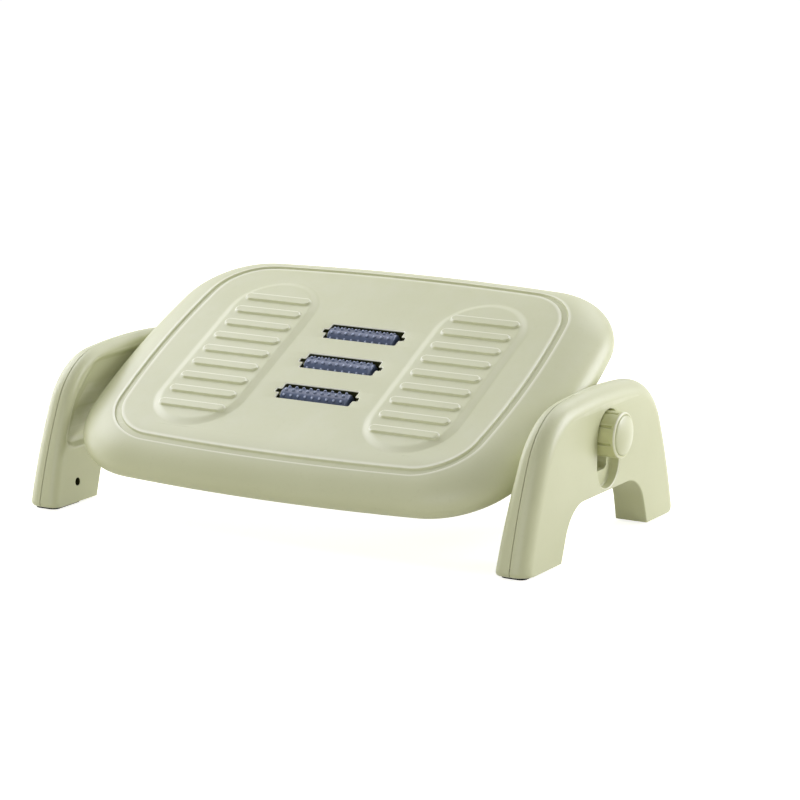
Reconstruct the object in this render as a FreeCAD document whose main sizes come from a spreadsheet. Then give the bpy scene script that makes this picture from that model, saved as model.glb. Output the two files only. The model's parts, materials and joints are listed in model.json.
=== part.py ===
import FreeCAD, Part
import Sketcher
import math
import os
import re

# Massage roller footrest: a tilting pedal with three nubbed rollers between two arched legs.
# Frame: +X to the right, +Y away from the user, +Z up, origin on the floor under the middle.

Vector = FreeCAD.Vector
document = FreeCAD.newDocument("MassageRollerFootrest")
sheet = document.addObject("Spreadsheet::Sheet", "Sizes")

# Driving sizes in millimetres and degrees
drivingSizes = {
    # legs, seen from the side
    "legFaceX": 250.0,
    "legHalfLength": 150.0,
    "legHeight": 137.0,
    "footGap": 2.0,
    "edgeLean": 13.1,
    "edgeRadius": 485.0,
    "shoulderRadius": 70.0,
    "crestRadius": 615.0,
    "archCentreY": 3.0,
    "archHalfWidth": 84.5,
    "archHeight": 47.0,
    "archLean": 20.0,
    "archRadius": 36.0,
    # legs, seen from the front
    "seamX": 235.0,
    "innerFootX": 219.2,
    "innerTopX": 226.5,
    "outerRounding": 13.0,
    "innerRounding": 7.0,
    "archEdgeRounding": 1.5,
    "legWall": 2.5,
    # hollow on the inner face that the pedal swings in
    "scoopX": 226.5,
    "scoopCrestY": 72.0,
    "scoopCrestZ": 127.0,
    "scoopShoulderY": 106.0,
    "scoopShoulderZ": 95.0,
    "scoopFrontY": 124.0,
    "scoopFrontZ": 59.0,
    "scoopHeelY": 97.0,
    "scoopHeelZ": 72.0,
    "scoopFootY": 88.0,
    # pivot, height travel and the well round each knob
    "pivotY": 5.2,
    "pivotHeight": 97.2,
    "heightTravel": 26.0,
    "wellDepth": 8.0,
    "knobClearance": 1.8,
    "wellEdge": 0.8,
    # guide bush and its slot
    "bushWidth": 25.0,
    "bushHeight": 14.0,
    "bushCorner": 5.5,
    "slotClearance": 0.1,
    "endClearance": 0.15,
    "facePlay": 0.3,
    # pivot bolt
    "boltRadius": 4.0,
    "boltHeadRadius": 8.0,
    "boltHeadHeight": 3.5,
    "boltNeckSide": 8.0,
    "boltNeckLength": 4.0,
    "boltEndX": 257.0,
    "boreClearance": 0.05,
    # knob, washer, insert nut and cap
    "knobRadius": 20.0,
    "knobRimX": 264.0,
    "knobRounding": 1.6,
    "knobGrooves": 8.0,
    "knobGroovePhase": 15.0,
    "grooveWidth": 1.8,
    "grooveDepth": 1.1,
    "grooveLength": 15.0,
    "washerRadius": 17.5,
    "washerThickness": 1.2,
    "nutAcross": 13.0,
    "nutThickness": 6.5,
    "nutSeatX": 249.0,
    "capRadius": 15.6,
    "capSeatX": 258.6,
    "capDome": 3.6,
    "capLedge": 1.5,
    "capClearance": 0.05,
    "hubRadius": 10.0,
    "gripWall": 3.0,
    # screws that hold each pair of shells together
    "screwRadius": 1.45,
    "screwHeadRadius": 3.1,
    "screwHeadHeight": 2.2,
    "screwCrossWidth": 0.5,
    "screwCrossDepth": 1.2,
    "screwLength": 15.0,
    "screwShoulderX": 229.0,
    "screwClearance": 0.05,
    "screwSinkRadius": 3.6,
    "screwBossRadius": 5.4,
    "footScrewY": 110.0,
    "footScrewZ": 20.0,
    "upperScrewSpread": 32.0,
    "upperScrewZ": 82.0,
    # rubber pads under the feet
    "padStartY": 142.0,
    "padLength": 41.0,
    "padInnerX": 222.6,
    "padOuterX": 245.6,
    "padCorner": 6.0,
    "padSeatDepth": 0.8,
    "padSideClearance": 0.2,
    # pedal plate
    "restTilt": 26.5,
    "plateHalfWidth": 225.0,
    "plateHalfDepth": 160.0,
    "sideBow": 16.0,
    "endBow": 11.3,
    "plateCorner": 80.0,
    "plateSetback": 6.1,
    "plateTopRise": 48.6,
    "bandHeight": 9.5,
    "crownDrop": 25.0,
    "crownRun": 45.0,
    "lipRounding": 7.0,
    "plateWall": 3.0,
    "lipWidth": 9.5,
    "lipThickness": 4.0,
    # border groove on top of the plate
    "borderInsetX": 41.0,
    "borderInsetY": 26.0,
    "borderCorner": 52.0,
    "borderWidth": 7.0,
    "borderDepth": 1.4,
    # ribbed foot pads moulded on the plate
    "patternSetback": 3.1,
    "padCentreX": 106.5,
    "padHalfWidth": 38.5,
    "padHalfDepth": 110.0,
    "padRise": 2.0,
    "padSlope": 62.0,
    "ribHalfLength": 30.6,
    "ribHalfWidth": 2.9,
    "ribPitch": 20.3,
    "ribsPerPad": 9.0,
    "ribRise": 2.2,
    "ribRounding": 1.6,
    # rollers, their axles and wells
    "rollerPitch": 45.1,
    "rollerHalfLength": 33.6,
    "rollerRadius": 9.7,
    "rollerBevel": 1.2,
    "rollerDrop": 8.0,
    "nubRows": 10.0,
    "nubsPerRow": 9.0,
    "nubPitch": 7.2,
    "nubRadius": 1.5,
    "nubRise": 1.1,
    "nubTaper": 25.0,
    "axleRadius": 2.0,
    "axleHalfLength": 39.6,
    "windowHalfLength": 35.2,
    "windowHalfDepth": 10.45,
    "windowCorner": 1.0,
    "windowBevel": 1.0,
    "notchHalfDepth": 2.6,
    "notchLength": 5.2,
    "wellWall": 2.2,
    "wellSideRoom": 1.0,
    "wellFloorGap": 1.2,
    "throatWidth": 3.6,
    "throatHeight": 1.6,
    # ears under the plate that carry the pivot bolts, and stiffening ribs
    "earInnerX": 216.0,
    "earOuterX": 223.0,
    "earRadius": 19.0,
    "earBossRadius": 17.0,
    "earSpread": 12.0,
    "ribWall": 2.2,
    "ribDepth": 14.0,
    "crossRibPitch": 54.0,
}

for row, (alias, value) in enumerate(drivingSizes.items(), start=1):
    sheet.set(f"A{row}", alias)
    sheet.set(f"B{row}", str(value))
    sheet.setAlias(f"B{row}", alias)
document.recompute()

# how far a cutting solid runs past the surface that it opens
overrun = 2.0
# edges nearer to a plane than this lie on it
near = 1e-3


def bound(text):
    """Write a formula of size names as an expression on the sheet."""
    return re.sub(r"[a-zA-Z]\w*", lambda word: "Sizes." + word.group(0), str(text))


def size(text):
    """Give the present value of a size or of a formula of sizes."""
    return float(sheet.evalExpression(bound(text)))


def newBody(label):
    body = document.addObject("PartDesign::Body", label)
    body.Label = label
    return body


def originPlane(body, role):
    for feature in body.Origin.OriginFeatures:
        if feature.Role == role:
            return feature
    raise ValueError(role)


def newSketch(body, name, role, offset):
    """Make a sketch on an origin plane of the body, moved out along its normal by a formula."""
    sketch = body.newObject("Sketcher::SketchObject", name)
    sketch.AttachmentSupport = [(originPlane(body, role), "")]
    sketch.MapMode = "FlatFace"
    sketch.setExpression("AttachmentOffset.Base.z", bound(offset))
    return sketch


def addCircle(sketch, x, y, radius):
    circle = Part.Circle(Vector(size(x), size(y), 0), Vector(0, 0, 1), size(radius))
    index = sketch.addGeometry(circle, False)
    for kind, text in (("DistanceX", x), ("DistanceY", y)):
        number = sketch.addConstraint(Sketcher.Constraint(kind, -1, 1, index, 3, size(text)))
        sketch.setExpression(f"Constraints[{number}]", bound(text))
    number = sketch.addConstraint(Sketcher.Constraint("Radius", index, size(radius)))
    sketch.setExpression(f"Constraints[{number}]", bound(radius))


def addRectangle(sketch, left, right, low, high):
    corners = [(left, low), (right, low), (right, high), (left, high)]
    points = [Vector(size(x), size(y), 0) for x, y in corners]
    first = sketch.GeometryCount
    for step in range(4):
        sketch.addGeometry(Part.LineSegment(points[step], points[(step + 1) % 4]), False)
    for step in range(4):
        following = first + (step + 1) % 4
        sketch.addConstraint(Sketcher.Constraint("Coincident", first + step, 2, following, 1))
        direction = "Horizontal" if step % 2 == 0 else "Vertical"
        sketch.addConstraint(Sketcher.Constraint(direction, first + step))
    for kind, line, text in (
        ("DistanceX", first, left),
        ("DistanceY", first, low),
        ("DistanceX", first + 2, right),
        ("DistanceY", first + 2, high),
    ):
        number = sketch.addConstraint(Sketcher.Constraint(kind, -1, 1, line, 1, size(text)))
        sketch.setExpression(f"Constraints[{number}]", bound(text))


def roundedRectangle(left, right, low, high, corner):
    """Lines and quarter arcs of a rectangle with round corners, counter-clockwise."""
    middles = [
        (right - corner, low + corner, -90),
        (right - corner, high - corner, 0),
        (left + corner, high - corner, 90),
        (left + corner, low + corner, 180),
    ]
    arcs = []
    for x, y, start in middles:
        angles = [math.radians(start + step) for step in (0, 45, 90)]
        arcs.append([Vector(x + corner * math.cos(a), y + corner * math.sin(a), 0) for a in angles])
    edges = []
    for here, there in zip(arcs, arcs[1:] + arcs[:1]):
        edges.append(Part.Arc(*here))
        if here[2].distanceToPoint(there[0]) > 1e-6:
            edges.append(Part.LineSegment(here[2], there[0]))
    return edges


def uprightSlot(centreX, low, high, radius):
    """Outline of an upright slot with half-round ends centred at the two heights."""
    return roundedRectangle(centreX - radius, centreX + radius, low - radius, high + radius, radius)


def addFeature(body, kind, name, sketch, length=None, reverse=False, both=False):
    """Add a pad or pocket of a sketch, its length bound to a formula of sizes."""
    feature = body.newObject("PartDesign::" + kind, name)
    feature.Profile = sketch
    feature.Reversed = reverse
    if both:
        feature.Midplane = True
    feature.setExpression("Length", bound(length))
    document.recompute()
    return feature


def addFillet(body, name, base, radius, test):
    """Round the edges of the base that pass the test."""
    chosen = [f"Edge{n}" for n, edge in enumerate(base.Shape.Edges, start=1) if test(edge)]
    fillet = body.newObject("PartDesign::Fillet", name)
    fillet.Base = (base, chosen)
    fillet.setExpression("Radius", bound(radius))
    document.recompute()
    return fillet


def pointOn(centre, radius, towards):
    """The point of a circle that lies towards another point."""
    step = towards - centre
    return centre + step * (radius / step.Length)


def cornerArc(centreA, radiusA, centreB, radiusB, radius, outward):
    """Centre and touching points of an arc tangent inside two larger arcs."""
    between = centreB - centreA
    reachA = radiusA - radius
    reachB = radiusB - radius
    along = (between.Length**2 + reachA**2 - reachB**2) / (2 * between.Length)
    across = math.sqrt(reachA**2 - along**2)
    unit = between / between.Length
    normal = Vector(-unit.y, unit.x, 0) * across
    foot = centreA + unit * along
    centre = max(foot + normal, foot - normal, key=lambda point: point.dot(outward))
    return centre, pointOn(centreA, radiusA, centre), pointOn(centreB, radiusB, centre)


def legOutline(inset):
    """Side view of a leg, moved in all round by the inset: two feet, a crest and an arch."""
    lean = math.radians(size("edgeLean"))
    edgeRadius = size("edgeRadius") - inset
    crestRadius = size("crestRadius") - inset
    low = size("footGap") + inset
    edgeCentre = Vector(
        -size("legHalfLength") + size("edgeRadius") * math.cos(lean),
        -size("edgeRadius") * math.sin(lean),
        0,
    )
    crestCentre = Vector(0, size("legHeight") - size("crestRadius"), 0)
    shoulder, edgeEnd, crestEnd = cornerArc(
        edgeCentre,
        edgeRadius,
        crestCentre,
        crestRadius,
        size("shoulderRadius") - inset,
        Vector(-1, 1, 0),
    )
    shoulderRadius = size("shoulderRadius") - inset
    toe = Vector(edgeCentre.x - math.sqrt(edgeRadius**2 - (low - edgeCentre.y) ** 2), low, 0)
    edgeMiddle = pointOn(edgeCentre, edgeRadius, (toe + edgeEnd) / 2)
    shoulderMiddle = pointOn(shoulder, shoulderRadius, (edgeEnd + crestEnd) / 2)

    def opposite(point):
        return Vector(-point.x, point.y, 0)

    lean = math.radians(size("archLean"))
    archRadius = size("archRadius") + inset
    archTop = size("archHeight") + inset
    archSide = size("archHalfWidth") + inset / math.cos(lean)
    cornerHeight = archTop - archRadius
    cornerY = archSide - cornerHeight * math.tan(lean) - archRadius / math.cos(lean)
    middleLean = (lean + math.pi / 2) / 2

    def archPoints(direction):
        """Foot, wall end, corner middle and top of one side of the arch."""
        centre = size("archCentreY")
        points = [
            (archSide - low * math.tan(lean), low),
            (cornerY + archRadius * math.cos(lean), cornerHeight + archRadius * math.sin(lean)),
            (cornerY + archRadius * math.cos(middleLean), cornerHeight + archRadius * math.sin(middleLean)),
            (cornerY, archTop),
        ]
        return [Vector(centre + direction * y, z, 0) for y, z in points]

    frontArch = archPoints(-1)
    rearArch = archPoints(1)
    return [
        Part.Arc(toe, edgeMiddle, edgeEnd),
        Part.Arc(edgeEnd, shoulderMiddle, crestEnd),
        Part.Arc(crestEnd, Vector(0, size("legHeight") - inset, 0), opposite(crestEnd)),
        Part.Arc(opposite(crestEnd), opposite(shoulderMiddle), opposite(edgeEnd)),
        Part.Arc(opposite(edgeEnd), opposite(edgeMiddle), opposite(toe)),
        Part.LineSegment(opposite(toe), rearArch[0]),
        Part.LineSegment(rearArch[0], rearArch[1]),
        Part.Arc(rearArch[1], rearArch[2], rearArch[3]),
        Part.LineSegment(rearArch[3], frontArch[3]),
        Part.Arc(frontArch[3], frontArch[2], frontArch[1]),
        Part.LineSegment(frontArch[1], frontArch[0]),
        Part.LineSegment(frontArch[0], toe),
    ]


def legSketch(body, name, offset, inset):
    sketch = newSketch(body, name, "YZ_Plane", offset)
    sketch.addGeometry(legOutline(inset), False)
    return sketch


def slotSketch(body, name, offset, clearance):
    """Window that the bush slides in, as long as its travel."""
    halfWidth = size("bushWidth") / 2 + clearance
    reach = size("bushHeight") / 2 + size("endClearance") - size("slotClearance") + clearance
    low = size("pivotHeight - heightTravel") - reach
    high = size("pivotHeight") + reach
    centre = size("pivotY")
    sketch = newSketch(body, name, "YZ_Plane", offset)
    corner = size("bushCorner") + clearance
    outline = roundedRectangle(centre - halfWidth, centre + halfWidth, low, high, corner)
    sketch.addGeometry(outline, False)
    return sketch


footScrews = [("-footScrewY", "footScrewZ"), ("footScrewY", "footScrewZ")]
upperScrews = [
    ("pivotY - upperScrewSpread", "upperScrewZ"),
    ("pivotY + upperScrewSpread", "upperScrewZ"),
]
allScrews = footScrews + upperScrews


def screwSketch(body, name, offset, radius, places=allScrews):
    sketch = newSketch(body, name, "YZ_Plane", offset)
    for y, z in places:
        addCircle(sketch, y, z, radius)
    return sketch


def footPadOutline(front, clearance):
    """Plan view of a rubber foot pad, widened all round by the clearance."""
    start = -size("padStartY") if front else size("padStartY - padLength")
    return roundedRectangle(
        size("padInnerX") - clearance,
        size("padOuterX") + clearance,
        start - clearance,
        start + size("padLength") + clearance,
        size("padCorner") + clearance,
    )


def cutPadSeats(body):
    sketch = newSketch(body, "PadSeatPlan", "XY_Plane", "footGap + padSeatDepth")
    for front in (True, False):
        sketch.addGeometry(footPadOutline(front, size("padSideClearance")), False)
    return addFeature(body, "Pocket", "PadSeats", sketch, f"padSeatDepth + {overrun}")


def hollowOut(body, core):
    """Take the core body out of the blank."""
    hollow = body.newObject("PartDesign::Boolean", "Hollow")
    hollow.Type = "Cut"
    hollow.addObjects([core])
    document.recompute()


def makeOuterShell():
    """Outer half of a leg: rounded outside, hollow inside, with the knob well and its slot."""
    body = newBody("right_leg_outer_shell")
    wall = size("legWall")
    blank = addFeature(body, "Pad", "Blank", legSketch(body, "Side", "seamX", 0), "legFaceX - seamX")
    face = size("legFaceX")

    def onFace(edge):
        box = edge.BoundBox
        return abs(box.XMin - face) < near and box.XLength < near

    def outerEdge(edge):
        return onFace(edge) and edge.BoundBox.ZMax > size("archHeight") + 1

    rounded = addFillet(body, "OuterRounding", blank, "outerRounding", outerEdge)

    def archEdge(edge):
        """Edges of the arch, without the soles beside it."""
        box = edge.BoundBox
        below = size("footGap") + near < box.ZMax < size("archHeight") + near
        return onFace(edge) and below and abs(box.Center.y) < size("archHalfWidth")

    addFillet(body, "ArchRounding", rounded, "archEdgeRounding", archEdge)
    core = newBody("leg_outer_core")
    inside = legSketch(core, "CoreSide", "seamX", wall)
    cored = addFeature(core, "Pad", "CoreBlank", inside, "legFaceX - seamX - legWall")
    floor = size("legFaceX - legWall")

    def coreEdge(edge):
        box = edge.BoundBox
        high = box.ZMax > size("archHeight + legWall") + 1
        return abs(box.XMin - floor) < near and box.XLength < near and high

    addFillet(core, "CoreRounding", cored, "outerRounding - legWall", coreEdge)
    hollowOut(body, core)

    wellFloor = "legFaceX - wellDepth"
    well = newSketch(body, "WellWall", "YZ_Plane", wellFloor + " - legWall")
    heights = [size("pivotHeight - heightTravel"), size("pivotHeight")]
    radius = size("knobRadius + knobClearance")
    well.addGeometry(uprightSlot(size("pivotY"), *heights, radius + wall), False)
    addFeature(body, "Pad", "WellBoss", well, "wellDepth")
    bosses = screwSketch(body, "ScrewBossPlan", "seamX", "screwRadius + legWall")
    addFeature(body, "Pad", "ScrewBosses", bosses, "legFaceX - seamX - legWall")
    opening = newSketch(body, "WellOpening", "YZ_Plane", "legFaceX")
    opening.addGeometry(uprightSlot(size("pivotY"), *heights, radius), False)
    welled = addFeature(body, "Pocket", "Well", opening, "wellDepth")

    def wellRim(edge):
        box = edge.BoundBox
        beside = abs(box.Center.y - size("pivotY")) < radius + near
        level = box.ZMin > heights[0] - radius - near and box.ZMax < heights[1] + radius + near
        return onFace(edge) and beside and level

    addFillet(body, "WellEdge", welled, "wellEdge", wellRim)
    slot = slotSketch(body, "SlotOpening", wellFloor, size("slotClearance"))
    addFeature(body, "Pocket", "Slot", slot, f"legWall + {overrun}")
    pilots = screwSketch(body, "PilotPlan", "seamX", "screwRadius + screwClearance")
    depth = "screwShoulderX + screwLength + endClearance - seamX"
    addFeature(body, "Pocket", "Pilots", pilots, depth, reverse=True)
    cutPadSeats(body)
    return body


def draftedWedge(body, name, shift):
    """Sketch of what lies between the middle of the footrest and the drafted inner face."""
    sketch = newSketch(body, name, "XZ_Plane", 0)
    footX = size("innerFootX") + shift
    topX = size("innerTopX") + shift
    near = footX - size("seamX - innerFootX")
    top = size("legHeight")
    points = [(near, -top), (footX, -top), (footX, 0), (topX, top), (topX, 2 * top), (near, 2 * top)]
    corners = [Vector(x, z, 0) for x, z in points]
    for here, there in zip(corners, corners[1:] + corners[:1]):
        sketch.addGeometry(Part.LineSegment(here, there), False)
    return sketch


def scoopOutline(margin):
    """Side view of the hollow that the pedal's edge swings in, widened by the margin."""
    top = size("legHeight") * 2
    crest = size("scoopCrestY") + margin
    front = size("scoopFrontY") + margin
    half = [
        (crest, top),
        (crest, size("scoopCrestZ") + margin),
        (size("scoopShoulderY") + margin, size("scoopShoulderZ") + margin),
        (front, size("scoopFrontZ") - margin),
        (size("scoopHeelY") + margin, size("scoopHeelZ") - margin),
        (size("scoopFootY") + margin, size("archHeight") - margin),
    ]
    front = [Vector(-y, z, 0) for y, z in half]
    rear = [Vector(y, z, 0) for y, z in reversed(half)]
    corners = front + rear
    return [Part.LineSegment(a, b) for a, b in zip(corners, corners[1:] + corners[:1])]


def makeInnerShell():
    """Inner half of a leg: drafted face with a hollow for the pedal and a collar for the bush."""
    wall = size("legWall")
    core = newBody("leg_inner_core")
    depth = "seamX - innerFootX"
    inside = legSketch(core, "CoreSide", "seamX", wall)
    addFeature(core, "Pad", "CoreBlank", inside, depth, reverse=True)
    wedge = draftedWedge(core, "CoreWedge", wall)
    cored = addFeature(core, "Pocket", "CoreDraft", wedge, "legHalfLength * 4", both=True)
    inner = size("innerTopX + legWall") + near

    def innerEdge(edge):
        """Long edges of the drafted face above the arch."""
        box = edge.BoundBox
        return box.XMax < inner and box.ZMax > size("archHeight + legWall") + 1 and box.XMin > 0

    addFillet(core, "CoreRounding", cored, "innerRounding - legWall", innerEdge)
    scoop = newSketch(core, "CoreScoop", "YZ_Plane", "scoopX + legWall")
    scoop.addGeometry(scoopOutline(wall), False)
    addFeature(core, "Pocket", "CoreRelief", scoop, "seamX - innerFootX")

    body = newBody("right_leg_inner_shell")
    addFeature(body, "Pad", "Blank", legSketch(body, "Side", "seamX", 0), depth, reverse=True)
    wedge = draftedWedge(body, "Wedge", 0)
    drafted = addFeature(body, "Pocket", "Draft", wedge, "legHalfLength * 4", both=True)

    def outerEdge(edge):
        box = edge.BoundBox
        return box.XMax < inner - wall and box.ZMax > size("archHeight") + 1

    addFillet(body, "InnerRounding", drafted, "innerRounding", outerEdge)
    hollowOut(body, core)
    scoop = newSketch(body, "Scoop", "YZ_Plane", "scoopX")
    scoop.addGeometry(scoopOutline(0), False)
    addFeature(body, "Pocket", "Relief", scoop, "seamX - innerFootX")
    bosses = screwSketch(body, "UpperBossPlan", "seamX", "screwBossRadius", upperScrews)
    addFeature(body, "Pad", "UpperBosses", bosses, "seamX - scoopX", reverse=True)
    bosses = screwSketch(body, "FootBossPlan", "seamX", "screwBossRadius", footScrews)
    addFeature(body, "Pad", "FootBosses", bosses, "seamX - innerFootX - legWall", reverse=True)
    collar = slotSketch(body, "CollarPlan", "scoopX", size("slotClearance") + wall)
    collarLength = "legFaceX - wellDepth - legWall - slotClearance - scoopX"
    addFeature(body, "Pad", "Collar", collar, collarLength)
    slot = slotSketch(body, "SlotPlan", "scoopX", size("slotClearance"))
    addFeature(body, "Pocket", "Slot", slot, "legFaceX - scoopX", reverse=True)
    sinks = screwSketch(body, "SinkPlan", "screwShoulderX", "screwSinkRadius")
    addFeature(body, "Pocket", "ScrewSinks", sinks, "legFaceX")
    holes = screwSketch(body, "HolePlan", "seamX", "screwRadius + screwClearance")
    addFeature(body, "Pocket", "ScrewHoles", holes, "legFaceX")
    cutPadSeats(body)
    return body


def makeFootPad(front):
    """Rubber pad let into the sole of a foot."""
    body = newBody(f"right_{'front' if front else 'rear'}_foot_pad")
    sketch = newSketch(body, "Plan", "XY_Plane", 0)
    sketch.addGeometry(footPadOutline(front, 0), False)
    addFeature(body, "Pad", "Sole", sketch, "footGap + padSeatDepth")
    return body


def makeLegScrews():
    """Four cross-head screws that hold the two halves of a leg together."""
    body = newBody("right_leg_screws")
    body.AllowCompound = True
    heads = screwSketch(body, "HeadPlan", "screwShoulderX", "screwHeadRadius")
    addFeature(body, "Pad", "Heads", heads, "screwHeadHeight", reverse=True)
    shanks = screwSketch(body, "ShankPlan", "screwShoulderX", "screwRadius")
    addFeature(body, "Pad", "Shanks", shanks, "screwLength")
    slots = {
        "Flat": ("screwRadius", "screwCrossWidth"),
        "Tall": ("screwCrossWidth", "screwRadius"),
    }
    for name, (wide, tall) in slots.items():
        cross = newSketch(body, name + "CrossPlan", "YZ_Plane", "screwShoulderX - screwHeadHeight")
        for y, z in allScrews:
            addRectangle(cross, f"{y} - {wide}", f"{y} + {wide}", f"{z} - {tall}", f"{z} + {tall}")
        addFeature(body, "Pocket", name + "Cross", cross, "screwCrossDepth", reverse=True)
    return body


def makeSlotBush():
    """Sliding bush that carries the pivot bolt and keeps it square in the slot."""
    body = newBody("right_slot_bush")
    sketch = newSketch(body, "Section", "YZ_Plane", "scoopX + facePlay")
    halfWidth = size("bushWidth") / 2
    halfHeight = size("bushHeight") / 2
    centre = size("pivotY")
    height = size("pivotHeight")
    outline = roundedRectangle(
        centre - halfWidth, centre + halfWidth, height - halfHeight, height + halfHeight, size("bushCorner")
    )
    sketch.addGeometry(outline, False)
    addFeature(body, "Pad", "Block", sketch, "legFaceX - wellDepth - scoopX - 2 * facePlay")
    bore = newSketch(body, "BorePlan", "YZ_Plane", "scoopX")
    addCircle(bore, "pivotY", "pivotHeight", "boltRadius + boreClearance")
    addFeature(body, "Pocket", "Bore", bore, "legFaceX - scoopX", reverse=True)
    return body


def makePivotBolt():
    """Bolt with a flat round head and a square neck that keys it to the pedal's ear."""
    body = newBody("right_pivot_bolt")
    head = newSketch(body, "HeadPlan", "YZ_Plane", "earInnerX")
    addCircle(head, "0", "0", "boltHeadRadius")
    padded = addFeature(body, "Pad", "Head", head, "boltHeadHeight", reverse=True)
    inner = size("earInnerX - boltHeadHeight")

    def crown(edge):
        return abs(edge.BoundBox.XMax - inner) < near

    addFillet(body, "HeadRounding", padded, "boltHeadHeight / 3", crown)
    neck = newSketch(body, "NeckPlan", "YZ_Plane", "earInnerX")
    half = "boltNeckSide / 2"
    addRectangle(neck, f"-{half}", half, f"-{half}", half)
    addFeature(body, "Pad", "Neck", neck, "boltNeckLength")
    shank = newSketch(body, "ShankPlan", "YZ_Plane", "earInnerX")
    addCircle(shank, "0", "0", "boltRadius")
    addFeature(body, "Pad", "Shank", shank, "boltEndX - earInnerX")
    return body


def makeWasher():
    body = newBody("right_knob_washer")
    sketch = newSketch(body, "Section", "YZ_Plane", "legFaceX - wellDepth + facePlay")
    addCircle(sketch, "0", "0", "washerRadius")
    addCircle(sketch, "0", "0", "boltRadius + 2 * boreClearance")
    addFeature(body, "Pad", "Ring", sketch, "washerThickness")
    return body


def hexagon(across):
    """Six lines round the origin, a flat at each side."""
    radius = across / math.sqrt(3)
    angles = [math.radians(60 * step) for step in range(7)]
    points = [Vector(radius * math.cos(a), radius * math.sin(a), 0) for a in angles]
    return [Part.LineSegment(here, there) for here, there in zip(points, points[1:])]


def makeNut():
    body = newBody("right_knob_nut")
    sketch = newSketch(body, "Section", "YZ_Plane", "nutSeatX")
    sketch.addGeometry(hexagon(size("nutAcross")), False)
    addCircle(sketch, "0", "0", "boltRadius + boreClearance")
    addFeature(body, "Pad", "Hexagon", sketch, "nutThickness")
    return body


def makeKnobBody():
    """Round grip with eight narrow grooves, a hub for the nut and a seat for the cap."""
    body = newBody("right_knob_body")
    inner = "legFaceX - wellDepth + 2 * facePlay + washerThickness"
    disc = newSketch(body, "DiscPlan", "YZ_Plane", inner)
    addCircle(disc, "0", "0", "knobRadius")
    blank = addFeature(body, "Pad", "Disc", disc, f"knobRimX - ({inner})")
    rim = size("knobRimX")

    def rimEdge(edge):
        return edge.BoundBox.XMin > rim - near

    addFillet(body, "RimRounding", blank, "knobRounding", rimEdge)
    seat = newSketch(body, "CapSeatPlan", "YZ_Plane", "knobRimX")
    addCircle(seat, "0", "0", "capRadius + capClearance")
    addFeature(body, "Pocket", "CapSeat", seat, "knobRimX - capSeatX")
    hollow = newSketch(body, "HollowPlan", "YZ_Plane", "capSeatX")
    addCircle(hollow, "0", "0", "capRadius - capLedge")
    addCircle(hollow, "0", "0", "hubRadius")
    addFeature(body, "Pocket", "Hollow", hollow, f"capSeatX - ({inner}) - gripWall")
    pocket = newSketch(body, "NutPocketPlan", "YZ_Plane", "nutSeatX")
    pocket.addGeometry(hexagon(size("nutAcross") + 2 * size("capClearance")), False)
    addFeature(body, "Pocket", "NutPocket", pocket, "knobRimX - nutSeatX", reverse=True)
    bore = newSketch(body, "BorePlan", "YZ_Plane", "knobRimX")
    addCircle(bore, "0", "0", "boltRadius + 2 * boreClearance")
    addFeature(body, "Pocket", "Bore", bore, "legFaceX")
    grooves = newSketch(body, "GroovePlan", "YZ_Plane", "knobRimX")
    turn = 360 / size("knobGrooves")
    for count in range(int(size("knobGrooves"))):
        angle = math.radians(size("knobGroovePhase") + turn * count)
        outward = Vector(math.cos(angle), math.sin(angle), 0)
        centre = outward * size("knobRadius - grooveDepth + grooveWidth / 2")
        grooves.addGeometry(Part.Circle(centre, Vector(0, 0, 1), size("grooveWidth / 2")), False)
    addFeature(body, "Pocket", "Grooves", grooves, "grooveLength")
    return body


def makeKnobCap():
    """Domed disc that closes the front of the knob."""
    body = newBody("right_knob_cap")
    sketch = newSketch(body, "HalfSection", "XZ_Plane", 0)
    seat = size("capSeatX")
    edge = size("knobRimX")
    radius = size("capRadius")
    crown = edge + size("capDome")
    domeRadius = (radius**2 + size("capDome") ** 2) / (2 * size("capDome"))
    centre = Vector(crown - domeRadius, 0, 0)
    rim = Vector(edge, radius, 0)
    top = Vector(crown, 0, 0)
    low = Vector(seat, 0, 0)
    corner = Vector(seat, radius, 0)
    sketch.addGeometry(
        [
            Part.LineSegment(low, corner),
            Part.LineSegment(corner, rim),
            Part.Arc(rim, pointOn(centre, domeRadius, (rim + top) / 2), top),
            Part.LineSegment(top, low),
        ],
        False,
    )
    dome = body.newObject("PartDesign::Revolution", "Dome")
    dome.Profile = sketch
    dome.ReferenceAxis = (originPlane(body, "X_Axis"), [""])
    dome.Angle = 360
    document.recompute()
    return body


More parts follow.
